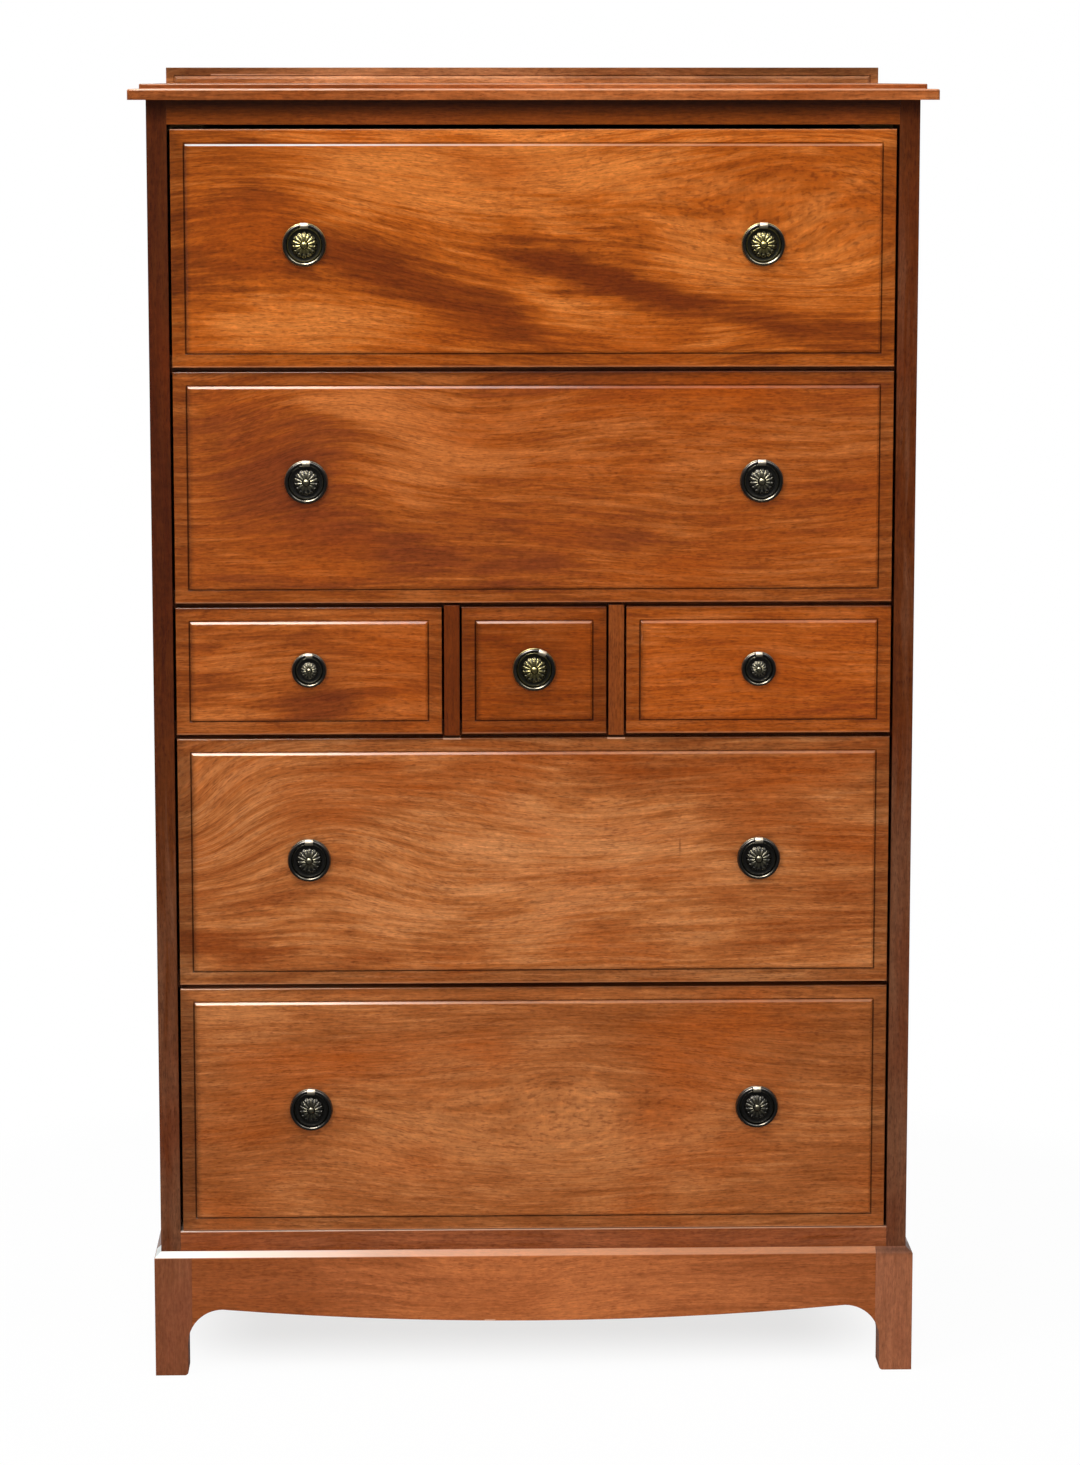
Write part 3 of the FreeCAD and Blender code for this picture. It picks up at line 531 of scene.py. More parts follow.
# %% The three small fronts
# bevel places painted highlights, the border's values are partly painted shade and light, and each
# shades row is painted shade under the gap above the top edge
FRONTS |= {
    "small_drawer_left": dict(
        seed=510.0, border=(0.72, 0.7, 0.88, 0.9), bevel=((-100, 100), (0.22, 0.05)),
        shades=[(0, 57.5, 5000, 2.5, 0, -0.5)],
        Pale="#c37033", Middle="#994c16", Dark="#6c2e0f",
        bends=[(0, 0, 60, 40, 0, 5), (70, -20, 60, 30, 0, 8)],
        tones=[(0, 40, 110, 11, 0, 0.15), (10, -26, 70, 7, 5, -0.5), (-50, 4, 40, 12, 0, 0.15),
               (80, -12, 40, 6, 6, -0.4), (85, -34, 45, 11, 4, 0.35), (-80, -38, 40, 10, 0, 0.3),
               (55, 7, 45, 8, 0, 0.22), (0, 22, 110, 7, 0, -0.2)],
        reds=[(60, 20, 80, 30, 0, 0.3)], **{"Streak strength": 0.9}),
    "small_drawer_middle": dict(
        seed=620.0, border=(0.75, 0.7, 0.85, 1.05), bevel=((-60, 60), (0.3, 0.22)),
        shades=[(0, 57.5, 5000, 2.5, 0, -0.5)],
        Pale="#9a501e", Middle="#833b06", Dark="#6a2806",
        bends=[], tones=[(-10, 46, 60, 11, 0, 0.45)], reds=[(0, -20, 60, 30, 0, 0.3)],
        **{"Streak strength": 0.95}),
    "small_drawer_right": dict(
        seed=770.0, border=(0.7, 0.7, 0.85, 0.9), bevel=((-100, 100), (0.12, 0.15)),
        shades=[(0, 57.5, 5000, 2.5, 0, -0.5)],
        Pale="#c46d30", Middle="#a55012", Dark="#80350e",
        bends=[(-20, 10, 60, 40, 0, 6)],
        tones=[(0, 42, 110, 9, 0, 0.18), (-62, 24, 30, 8, 0, -0.2), (50, -36, 60, 9, 0, -0.14)],
        reds=[(-20, 0, 100, 40, 0, 0.45)], **{"Streak strength": 1.05}),
}
print("fronts:", list(FRONTS))


# %% The two lower fronts
# bevel, edge and the places by the dividers are painted highlights, the border's values partly
# painted shade and light, and each first shades row is painted shade under the gap above the top
# edge; the fourth's second row is a real scratch
FRONTS |= {
    "drawer_fourth": dict(
        seed=910.0, border=(0.55, 0.7, 0.75, 0.83), bevel=((-280, -60), (0.38, 0.15)),
        edge=((-310, -250), (0.3, 0.0)), highlight_at_dividers=(-74, 74),
        shades=[(0, 113, 5000, 2.5, 0, -0.5), (132, 14, 0.8, 7, 0, -0.5)],
        Pale="#cc8650", Middle="#a9622e", Dark="#80390a",
        bends=[(-330, 40, 75, 60, 0, -56), (-190, 20, 80, 50, 0, 22), (30, 40, 90, 45, 0, -16),
               (-60, -40, 90, 40, 0, -12)],
        tones=[(160, 92, 170, 18, 0, -0.42), (100, 73, 130, 14, 0, -0.24),
               (-120, 93, 60, 13, 0, -0.16), (-282, 58, 50, 38, 0, 0.14),
               (-200, 46, 45, 14, 0, -0.24), (20, 8, 170, 58, 0, 0.26), (262, 0, 60, 60, 0, -0.28),
               (-265, -20, 50, 60, 0, -0.12), (-288, -78, 70, 14, -12, -0.5),
               (-150, -88, 120, 9, -3, -0.3), (-80, -56, 90, 16, 0, 0.14),
               (-30, -10, 60, 9, -8, -0.26)],
        reds=[(180, 82, 160, 20, 0, 0.5)], **{"Streak strength": 0.9}),
    "drawer_bottom": dict(
        seed=1040.0, border=(0.48, 0.72, 0.86, 1.0), bevel=((-280, 60), (0.4, 0.15)),
        edge=((-250, -80), (0.4, 0.0)), shades=[(0, 113, 5000, 2.5, 0, -0.45)],
        Pale="#bd7742", Middle="#a05b2a", Dark="#804012",
        bends=[(-200, 0, 80, 60, 0, 12), (20, 42, 150, 40, 0, 20), (20, -45, 150, 40, 0, -20)],
        tones=[(-262, 92, 60, 18, 0, 0.35), (-180, 65, 60, 24, -10, -0.24),
               (-40, 50, 60, 34, 0, 0.2), (150, 84, 180, 22, 0, -0.26),
               (262, 58, 70, 48, 0, -0.33), (-232, -10, 40, 24, 0, -0.3),
               (-282, -70, 40, 24, 0, -0.3), (0, -25, 150, 44, 0, 0.34),
               (262, -70, 80, 24, 0, -0.32)],
        reds=[(-200, 45, 90, 26, 0, 0.25), (230, 60, 90, 50, 0, 0.25)]),
}
print("soft spots of tone:", {drawer: len(look["tones"]) for drawer, look in FRONTS.items()})


# %% [markdown]
# ## From the lists to the boards
# The lists count from the middle of each front, so the board's own middle and size are read from
# the frame. The strips of painted highlight follow from them too: the field's upper bevel, the
# bottom edge, the top edge, and the places next to the dividers above.

# %% Finish the drawer fronts
def front_finish(drawer, bends, tones, reds, seed, border, bevel, edge=None, highlight_at_dividers=(),
                 shades=(), **numbers):
    """bevel and edge are the fade and level of painted highlight on the field's upper bevel and the
    top.

    The places of the dividers above are given as well, and a painted highlight lies on the top edge
    next to each.
    """
    low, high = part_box(drawer + "_front")
    middle = (low + high) / 2 / MM
    half = (high - low) / 2 / MM
    field = (half.x - BORDER, half.z - BORDER)
    # painted highlights on the field's upper bevel and along the bottom edge
    wear_and_glints = [{"axis": 1, "band": (field[1] - 2.1, field[1] - 0.5), "fade": bevel[0],
             "level": bevel[1], "ends": (0.8 - field[0], field[0] - 0.8)},
            {"axis": 1, "band": (-half.z - 1, 1.4 - half.z), "fade": (-300, 300),
             "level": (0.16, 0.1)}]
    # painted highlights along the top edge, and next to the dividers above
    if edge:
        wear_and_glints.append({"axis": 1, "band": (half.z - 0.9, half.z + 1), "fade": edge[0],
                     "level": edge[1]})
    for x in highlight_at_dividers:
        wear_and_glints.append({"axis": 1, "band": (half.z - 1.2, half.z + 1), "fade": (x - 8, x + 8),
                     "level": (0.45, 0.45), "ends": (x - 8, x + 8)})
    shaped = figure(tones, reds, bends, seed, field, border, wear_and_glints, shades)
    return wood("Figured mahogany, lacquered, " + drawer, "across",
                (-middle.x, -middle.z, -middle.y), shaped=shaped, **numbers)


for drawer, look in FRONTS.items():
    finish_node(drawer + "_front", front_finish(drawer, **look))
print("finished", len(FRONTS), "drawer fronts")


# %% [markdown]
# ## The uprights of the case
# The case is solid mahogany, stained darker than the drawer fronts on its uprights and top rail,
# so that the fronts stand out. Each piece has its grain along its length, as a joiner cuts it.
# The sides are painted paler towards the floor, a painted sheen, and a painted shadow lies under
# the top.

# %% The sides and the dividers
# stain of the uprights: a deep red brown
STAINED = {"Pale": "#724a32", "Middle": "#5a2a0c", "Dark": "#421706", "Red": "#602406",
           "Pore": "#290706", "Pore strength": 0.35, "Streak strength": 0.6,
           "Streak size": (170, 5, 7), "Patch size": (260, 46, 30), "Patch strength": 0.35,
           "Fibre strength": 0.45, "lacquer": 0.5}
SHADOW_UNDER_TOP = [(1158, 0, 9, 5000, 0, -0.6)]    # painted shadow where the top overhangs the sides
case_finishes = {
    # each side is painted paler towards the floor, and the left one darker high up, as a painted
    # sheen
    "side_panel_left": wood("Mahogany, stained dark, left side", "wide_upright", (0, 0, 0),
                            shaped=figure([(900, 0, 300, 5000, 0, -0.45),
                                           (230, 0, 270, 5000, 0, 0.35)],
                                          bends=[(620, 40, 300, 90, 0, 60)], seed=20.0,
                                          shades=SHADOW_UNDER_TOP),
                            **STAINED),
    "side_panel_right": wood("Mahogany, stained dark, right side", "wide_upright", (0, 0, 0),
                             shaped=figure([(230, 0, 270, 5000, 0, 0.45)],
                                           bends=[(700, -30, 320, 90, 0, -60)], seed=300.0,
                                           shades=SHADOW_UNDER_TOP),
                             **dict(STAINED, Middle="#5b290a")),
    "drawer_dividers": wood("Mahogany, stained dark, dividers", "upright", (0, 0, 0),
                            shaped=figure([(650, -74, 5000, 40, 0, -0.35),
                                           (650, 74, 5000, 40, 0, 0.4)], seed=90.0),
                            **dict(STAINED, Pale="#89461b", Middle="#723408", Dark="#5d2406")),
}
print("finishes:", list(case_finishes))


# %% [markdown]
# ## The rails, the top and its gallery
# The two rails that show are one piece of the frame: the top rail is stained dark like the
# uprights, with a painted shadow under the overhang and a paler painted band below it, and the
# bottom rail is paler, with a painted highlight along its upper edge. Painted highlights also
# lie along the edges of the top and of the fielded gallery.

# %% The rails, the top and the gallery
case_finishes |= {
    "front_rails": wood("Mahogany rails", "across", (0, 0, 0),
                        shaped=figure([(0, 1150, 5000, 60, 0, -1.2)], seed=55.0,
                                      # a painted highlight along the bottom rail's upper edge
                                      wear_and_glints=[{"axis": 1, "band": (133.7, 135.5),
                                             "fade": (-330, 330), "level": (0.8, 0.45)}],
                                      # a painted shadow under the overhang, and a paler painted
                                      # band below it
                                      shades=[(0, 1158, 5000, 9, 0, -0.86),
                                              (0, 1141, 5000, 5, 0, 0.15)]),
                        Pale="#a35c34", Middle="#884926", Dark="#7a3909", Red="#8b4218"),
    "top_board": wood("Mahogany top", "wide_across", (0, 0, 0), lacquer=0.6,
                      shaped=figure([(-180, -220, 90, 5000, 0, -0.3),
                                     (60, -220, 120, 5000, 0, 0.25)],
                                    bends=[(-60, 10, 260, 70, 0, 60), (240, -80, 160, 60, 0, -34)],
                                    seed=160.0, shades=[(-330, 0, 120, 5000, 0, -0.2)],
                                    # painted highlights along the front edges of the top's two
                                    # steps
                                    wear_and_glints=[{"axis": 2, "band": (1168.3, 1170), "fade": (-350, 350),
                                           "level": (0.42, 0.36)},
                                          {"axis": 2, "band": (1173.1, 1173.9),
                                           "fade": (-350, 350), "level": (0.25, 0.25)}]),
                      Pale="#bf733f", Middle="#a05627", Dark="#743912",
                      **{"Streak size": (150, 5, 9), "Patch size": (200, 36, 30),
                         "Patch strength": 0.35, "Streak strength": 0.9}),
    "gallery": wood("Mahogany gallery", "across", (0, 0, 0), lacquer=0.6,
                    shaped=figure([(-190, 1180, 60, 90, 0, 0.35), (-30, 1180, 70, 90, 0, 0.3),
                                   (-330, 1180, 60, 90, 0, -0.3), (220, 1180, 90, 90, 0, -0.35)],
                                  seed=260.0, shades=[(0, 1176, 5000, 5.5, 0, 0.55),
                                                      (-300, 1187, 70, 8, 0, -0.3),
                                                      (330, 1180, 240, 5000, 0, -0.28)],
                                  # a painted highlight along the left of the gallery's bevel
                                  wear_and_glints=[{"axis": 1, "band": (1181.5, 1182.7),
                                         "fade": (-300, -140), "level": (0.5, 0.05),
                                         "ends": (-304, -140)}]),
                    Pale="#b47a50", Middle="#945d34", Dark="#693d1a", Red="#8e4d26"),
}
print("finishes:", list(case_finishes))


# %% [markdown]
# ## The plinth
# The plinth stands in the way of feet and brooms, so its lacquer is thin. Its chamfer carries a
# painted highlight, chalky white at the left and orange further right, and the right post's
# chamfer is painted darker as shade. One nick in the apron's lower edge is left as it is.

# %% The plinth
# the chamfer's painted highlight: along all of it, and chalky white towards its left end
CHAMFER = [{"band": (110.8, 116), "fade": (-330, 300), "level": (0.55, 0.25)},
           {"band": (110.8, 116), "fade": (-330, -90), "level": (1.0, 0.4), "ends": (-400, -90)}]
case_finishes |= {
    "plinth_front": wood("Mahogany apron", "across", (0, 0, 0),
                         shaped=figure([(0, 70, 130, 60, 0, 0.5), (90, 80, 120, 40, 8, 0.12),
                                        (-290, 60, 110, 200, 0, -0.42),
                                        (270, 60, 90, 200, 0, -0.15)],
                                       [(-180, 60, 140, 60, 0, 0.3)],
                                       [(-40, 90, 120, 50, 0, -9), (150, 40, 90, 40, 0, 8)],
                                       seed=40.0,
                                       # painted highlights along the chamfer, and a real nick in
                                       # the apron's lower edge
                                       wear_and_glints=[*({"axis": 1, **strip} for strip in CHAMFER),
                                             {"axis": 1, "band": (48, 51), "fade": (-50, -30),
                                              "level": (0.5, 0.5), "ends": (-46, -36)}]),
                         Pale="#bd6e3c", Middle="#9c562c", Dark="#82431c", Red="#954e24",
                         lacquer=0.25, **{"Pore strength": 0.3, "Fibre strength": 0.55}),
    "plinth_rails": wood("Mahogany plinth sides", "front_to_back", (0, 30, 0),
                         Pale="#8b5432", Middle="#79452b", Dark="#5e2f18", Red="#733e24"),
    "plinth_posts": wood("Mahogany corner posts", "upright", (0, 0, 0),
                         shaped=figure([(60, -345, 400, 120, 0, -0.45),
                                        (60, 345, 400, 120, 0, 0.5)],
                                       # a painted highlight along the left post's chamfer, and
                                       # painted shade on the right post's chamfer
                                       wear_and_glints=[{"axis": 0, "band": (110.8, 116),
                                              "fade": (-330, 330), "level": (1.0, 0.0)}],
                                       shades=[(113.4, 345, 3.4, 60, 0, -0.6)]),
                         Pale="#9d6142", Middle="#885134", Dark="#754227", Red="#844830",
                         lacquer=0.25, **{"Pore strength": 0.2, "Fibre strength": 0.4}),
}
for piece, material in case_finishes.items():
    finish_node(piece, material)
print("finished", len(case_finishes), "pieces of the case")


# %% [markdown]
# ## Inside the drawers and the case
# What is not seen when the drawers are shut is plain work: beech for the drawer sides and
# runners, unpolished, with the short brown flecks that its rays leave; thin birch plywood for the
# drawer bottoms and the back, whose rotary-cut face shows broad wavy figure; softwood blocks.

# %% Finish the inner woods
BARE = {"lacquer": 0.0, "roughness": 0.62, "Drift mm": 5.0, "Ripple strength": 0.1,
        "Patch strength": 0.25, "Streak strength": 0.4}
# beech: even, pale pinkish brown, with flecks about 3 mm long
BEECH = dict(BARE, **{"Pale": "#dcb98e", "Middle": "#cfa676", "Dark": "#bd9062", "Red": "#cf9a6c",
                      "Pore": "#8f5f38", "Pore size": (3.4, 0.9, 0.9), "Pore strength": 0.55,
                      "Streak size": (220, 9, 30), "Fibre strength": 0.25})
# birch plywood: pale cream with wide, slow waves
BIRCH = dict(BARE, **{"Pale": "#e6d2ac", "Middle": "#d9bf93", "Dark": "#c4a274", "Red": "#d3b07f",
                      "Pore": "#a98555", "Pore size": (5, 0.8, 0.8), "Pore strength": 0.2,
                      "Streak size": (160, 34, 30), "Streak strength": 0.8, "Drift mm": 40.0,
                      "Fibre strength": 0.2})
# pine blocks and rails: yellow, with strong growth rings
PINE = dict(BARE, **{"Pale": "#e3c48c", "Middle": "#d6ad6c", "Dark": "#b88445", "Red": "#cf9a58",
                     "Pore": "#b07a40", "Pore strength": 0.15, "Streak size": (400, 5, 24),
                     "Streak strength": 0.9, "Fibre strength": 0.2})
inner_finishes = {
    "rear_rails": wood("Pine rails, bare", "across", (20, 40, 60), **PINE),
    "glue_blocks": wood("Pine blocks, bare", "upright", (20, 90, 60), **PINE),
    "drawer_runners": wood("Beech runners, bare", "front_to_back", (0, 0, 30), **BEECH),
    "back_panel": wood("Birch plywood, stained", "upright", (0, 100, 0), **dict(
        BIRCH, **{"Pale": "#bb8b65", "Middle": "#a2714d", "Dark": "#875738", "Red": "#a06d49",
                  "Pore": "#663c23", "Streak size": (220, 22, 30), "Pore strength": 0.35})),
}
for piece, material in inner_finishes.items():
    finish_node(piece, material)
beech_sides = wood("Beech drawer sides, bare", "front_to_back", (0, 0, 0), **BEECH)
beech_backs = wood("Beech drawer backs, bare", "across", (0, 0, 0), **BEECH)
ply_bottoms = wood("Birch plywood drawer bottoms, bare", "wide_across", (0, 0, 0), **BIRCH)
for drawer in DRAWERS:
    for part, material in (("_sides", beech_sides), ("_back", beech_backs),
                           ("_bottom", ply_bottoms)):
        finish_node(drawer + part, material)
print("finished", len(inner_finishes) + 3 * len(DRAWERS), "inner pieces")


# %% [markdown]
# ## Aged cast brass
# The pulls are cast brass, chemically browned to nearly black and then worn: hands rub the high
# spots back to a yellow olive metal, and the hollows stay dark. Each vertex carries an attribute,
# rubbed, from 0 in a hollow to 1 on a crest, and noise of a couple of millimetres breaks its edge.
# Bare brass is smoother than the patina, so roughness follows the same mix.

# %% Aged brass
def aged_brass(name, patina, bare, patina_roughness, bare_roughness):
    """patina is the dark metal's two colours, and bare the colour that rubbing brings out."""
    material, tree = empty_material(name)
    place = add(tree, "ShaderNodeTexCoord").outputs["Object"]
    place = add(tree, VECTOR, {0: place, 3: 1 / MM}, operation="SCALE")
    cloudy = stretched_noise(tree, place, (2.6, 2.6, 2.6), detail=3)
    fine = stretched_noise(tree, place, (0.7, 0.7, 0.7), detail=2)
    rubbed = add(tree, "ShaderNodeAttribute", attribute_name="rubbed").outputs["Fac"]
    wear_and_glints = add(tree, MATH, [rubbed, centred(tree, cloudy, 0.5)], operation="ADD")
    wear_and_glints = add(tree, MATH, [wear_and_glints, centred(tree, fine, 0.2)], operation="ADD")
    wear_and_glints = add(tree, RANGE, {"Value": wear_and_glints, "From Min": 0.25, "From Max": 0.85},
               interpolation_type="SMOOTHSTEP")
    dark = add(tree, MIX, {SHARE: cloudy, FIRST: colour(patina[0]), SECOND: colour(patina[1])},
               data_type="RGBA").outputs[BLEND]
    metal = add(tree, MIX, {SHARE: wear_and_glints, FIRST: dark, SECOND: colour(bare)},
                data_type="RGBA").outputs[BLEND]
    # where the value is highest, on the lug's front, a pale satin is painted as a highlight, and
    # the metal is rougher there
    lug_painted_highlight = add(tree, RANGE, {"Value": rubbed, "From Min": 1.2, "From Max": 1.5})
    metal = add(tree, MIX, {SHARE: lug_painted_highlight, FIRST: metal, SECOND: colour("#efe4cf")},
                data_type="RGBA").outputs[BLEND]
    rough = add(tree, RANGE, {"Value": wear_and_glints, "To Min": patina_roughness,
                              "To Max": bare_roughness})
    rough = add(tree, MATH, [lug_painted_highlight, 0.28, rough], operation="MULTIPLY_ADD")
    rough = add(tree, MATH, [rough, centred(tree, fine, 0.08)], operation="ADD")
    height = add(tree, MATH, [cloudy, fine], operation="ADD")
    bump = add(tree, "ShaderNodeBump", {"Strength": 0.2, "Distance": 0.06 * MM,
                                        "Height": height})
    shader = add(tree, "ShaderNodeBsdfPrincipled",
                 {"Base Color": metal, "Metallic": 1.0, "Roughness": rough, "Normal": bump})
    add(tree, "ShaderNodeOutputMaterial", {"Surface": shader})
    return material


cast_brass = aged_brass("Cast brass, browned and rubbed", ("#4a4a4b", "#5b5852"), "#bdb698",
                        0.36, 0.26)
handled_brass = aged_brass("Cast brass, handled most", ("#4a4a48", "#5d5845"), "#cabd7e",
                           0.36, 0.26)
drawn_brass = aged_brass("Drawn brass wire, browned", ("#5a5856", "#6a6763"), "#aaa18a",
                         0.22, 0.18)
bolt_steel = aged_brass("Zinc-plated steel", ("#8d8f90", "#a2a4a3"), "#c3c5c4", 0.4, 0.3)
print("metals:", [metal.name for metal in (cast_brass, handled_brass, drawn_brass, bolt_steel)])


# %% [markdown]
# ## Building round things
# Most of a pull is turned work. An outline of (radius, height) points is spun about the pull's
# axis, which is Y, the direction that points out of a drawer. Every point carries how rubbed it is.

# %% Spin an outline, and make a piece from a mesh
def spin(mesh, outline, steps):
    """Add a closed ring of revolution about Y. outline: (radius, height out, rubbed), in mm."""
    mark = mesh.verts.layers.float["rubbed"]
    rings = []
    for radius, height, rubbed in outline:
        ring = []
        for i in range(steps if radius > 0 else 1):
            angle = 2 * math.pi * i / steps
            vert = mesh.verts.new((radius * math.cos(angle), -height, radius * math.sin(angle)))
            vert[mark] = rubbed
            ring.append(vert)
        rings.append(ring)
    for a, b in zip(rings, rings[1:] + rings[:1]):
        if len(a) == len(b) == 1:
            continue
        for i in range(steps):
            j = (i + 1) % steps
            corners = [a[i % len(a)], a[j % len(a)], b[j % len(b)], b[i % len(b)]]
            mesh.faces.new(list(dict.fromkeys(corners)))
    return rings


def new_mesh():
    mesh = bmesh.new()
    mesh.verts.layers.float.new("rubbed")
    return mesh


def as_object(mesh, name, smooth_below=40):
    """Turn a bmesh in millimetres into an object in metres, its faces outwards."""
    bmesh.ops.recalc_face_normals(mesh, faces=mesh.faces)
    bmesh.ops.scale(mesh, vec=(MM, MM, MM), verts=mesh.verts)
    limit = math.radians(smooth_below)
    for face in mesh.faces:
        face.smooth = True
    for edge in mesh.edges:
        edge.smooth = len(edge.link_faces) == 2 and edge.calc_face_angle() < limit
    data = bpy.data.meshes.new(name)
    mesh.to_mesh(data)
    mesh.free()
    return bpy.data.objects.new(name, data)


print("helpers for turned work:", spin.__name__, new_mesh.__name__, as_object.__name__)


# %% [markdown]
# ## The cast plate of a pull
# The plate is a dish with a rolled rim, a thin ridge and a domed boss. Petals lie on the boss and
# a lug at the top holds the ring. There are two sizes: the outer small drawers have the smaller.
# The frame knows each ring's hinge, and the middle of the plate lies a fixed distance below it,
# along the pull's own upright.

# %% Sizes of the pulls, in millimetres
LARGE = {"plate": 19.5, "ring": 17.4, "wire": 3.2, "bend": 6.0, "lug_width": 7.0, "lug": 5.4,
         "boss": 11.3, "boss_height": 4.6, "bead": 3.2}
SMALL = {"plate": 15.75, "ring": 13.9, "wire": 2.8, "bend": 5.0, "lug_width": 6.0, "lug": 4.6,
         "boss": 7.6, "boss_height": 3.8, "bead": 2.3}
RIM_HEIGHT, RIM_WIDTH, DISH_FLOOR, RIDGE_HEIGHT, RIDGE_WIDTH = 1.5, 1.3, 0.9, 0.6, 1.4
DISH = 0.5                                  # thickness of the dish between rim and boss
BOLT, BOLT_HOLE = 2.0, 2.15                 # radii of the bolt and of its hole
NUT_SEAT, NUT_HEIGHT, NUT = 22.5, 3.2, 3.5  # behind the field; half the nut across its flats
RING_GAP = 0.3
FIELD_Y = round(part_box("drawer_top_front")[0].y / MM, 2)     # the face of a raised field


def size_of(drawer):
    return SMALL if drawer in ("small_drawer_left", "small_drawer_right") else LARGE


def ring_height(pull):
    """How far the ring's middle stands off the wood."""
    return RIM_HEIGHT + RING_GAP + pull["wire"] / 2


def hinge_rise(pull):
    """How far the ring's straight top lies above the middle of the plate."""
    straight = pull["lug_width"] / 2 + 0.05
    return pull["bend"] + math.sqrt((pull["ring"] - pull["bend"]) ** 2 - straight ** 2)


def dome(pull, radius):
    """Height of the boss at a radius: a quarter ellipse from its edge up to the bead."""
    boss, bead = pull["boss"], pull["bead"]
    share = min(max((boss - radius) / (boss - bead * 0.4), 0), 1)
    return DISH_FLOOR + (pull["boss_height"] - DISH_FLOOR) * math.sqrt(1 - (1 - share) ** 2.4)


def pull_places(drawer):
    """(x, z, turn in degrees) of a drawer's plates, from the hinges of its rings."""
    places = []
    for hinge in (j for ring in RINGS[drawer] for j in frame["joints"] if j["child"] == ring):
        rise = hinge_rise(size_of(drawer))
        (x, _, z), (left, _, up) = hinge["pos_m"], hinge["axis"]
        places.append((round(x / MM - rise * up, 2), round(z / MM + rise * left, 2),
                       round(math.degrees(math.atan2(up, -left)))))
    return places


PULLS = {drawer: pull_places(drawer) for drawer in DRAWERS}
print("plates:", PULLS)


# %% The plate's outline
def plate_outline(pull):
    rim, boss, bead = pull["plate"], pull["boss"], pull["bead"]
    ridge = (rim - RIM_WIDTH + boss) / 2
    points = [(BOLT_HOLE, 0, 0), (rim - 0.3, 0, 0), (rim, 0.25, 0.3),
              (rim, RIM_HEIGHT / 2, 0.45)]
    for i in range(1, 7):                                # the rolled rim
        angle = math.pi * i / 7
        points.append((rim - RIM_WIDTH / 2 + RIM_WIDTH / 2 * math.cos(angle),
                       RIM_HEIGHT / 2 + RIM_HEIGHT / 2 * math.sin(angle),
                       0.35 + 0.3 * math.sin(angle)))
    points += [(rim - RIM_WIDTH - 0.15, DISH_FLOOR - 0.25, 0), (rim - RIM_WIDTH - 0.9, DISH, 0),
               (ridge + RIDGE_WIDTH / 2 + 0.4, DISH, 0)]
    for i in range(6):                                   # the thin ridge
        angle = math.pi * i / 5
        points.append((ridge + RIDGE_WIDTH / 2 * math.cos(angle),
                       0.65 + (RIDGE_HEIGHT + 0.25) * math.sin(angle), 0.6 * math.sin(angle)))
    points += [(ridge - RIDGE_WIDTH / 2 - 0.4, DISH, 0), (boss + 0.3, 0.55, 0)]
    for i in range(12):                                  # the boss
        radius = boss - (boss - bead - 0.5) * (i / 11) ** 1.6
        points.append((radius, dome(pull, radius), 0.1 if radius > 0.6 * boss else 0.7))
    seat = pull["boss_height"] - 0.7
    return points + [(bead + 0.15, seat, 0), (BOLT_HOLE, seat, 0)]


print("the large plate's outline has", len(plate_outline(LARGE)), "points")


# %% [markdown]
# ## What holds the ring and the plate
# The ring turns in a lug, a short barrel cast in one with the plate. It is drawn as a few
# sections along the barrel: the outer ones reach back to the plate as a square neck, and the
# inner ones are the hole. A bolt with a domed head goes through the plate and the drawer front
# to a six-sided nut, and both are turned like the plate.

# %% The lug, the bolt and the nut
def add_lug(mesh, pull):
    """A barrel with a hole for the ring, joined to the plate by a neck."""
    mark = mesh.verts.layers.float["rubbed"]
    radius, half = pull["lug"] / 2, pull["lug_width"] / 2
    off, z0 = ring_height(pull), hinge_rise(pull)
    hole = pull["wire"] / 2 + 0.05
    steps = 32
    sections = []
    for x, swell, inner in ((-half, 0.93, False), (-half + 0.25, 1.0, False),
                            (half - 0.25, 1.0, False), (half, 0.93, False),
                            (half, 1.0, True), (-half, 1.0, True)):
        section = []
        for i in range(steps):
            angle = 2 * math.pi * i / steps
            back, up = math.cos(angle), math.sin(angle)
            reach = radius * swell
            if back > 0 and not inner:                    # the neck is square, behind the barrel
                to_back = (off - DISH_FLOOR / 2) / max(back, 1e-6)
                to_side = (0.6 if up > 0 else 1.0) * radius / max(abs(up), 1e-6)
                reach = max(reach, min(to_back, to_side))
            if inner:
                reach = hole
            vert = mesh.verts.new((x, -off + reach * back, z0 + reach * up))
            # the barrel's front gets 2.5, which the brass turns into a painted highlight
            vert[mark] = 0.0 if inner else 2.5 if back < 0.2 else 0.3
            section.append(vert)
        sections.append(section)
    for a, b in zip(sections, sections[1:] + sections[:1]):
        for i in range(steps):
            j = (i + 1) % steps
            mesh.faces.new((a[i], a[j], b[j], b[i]))


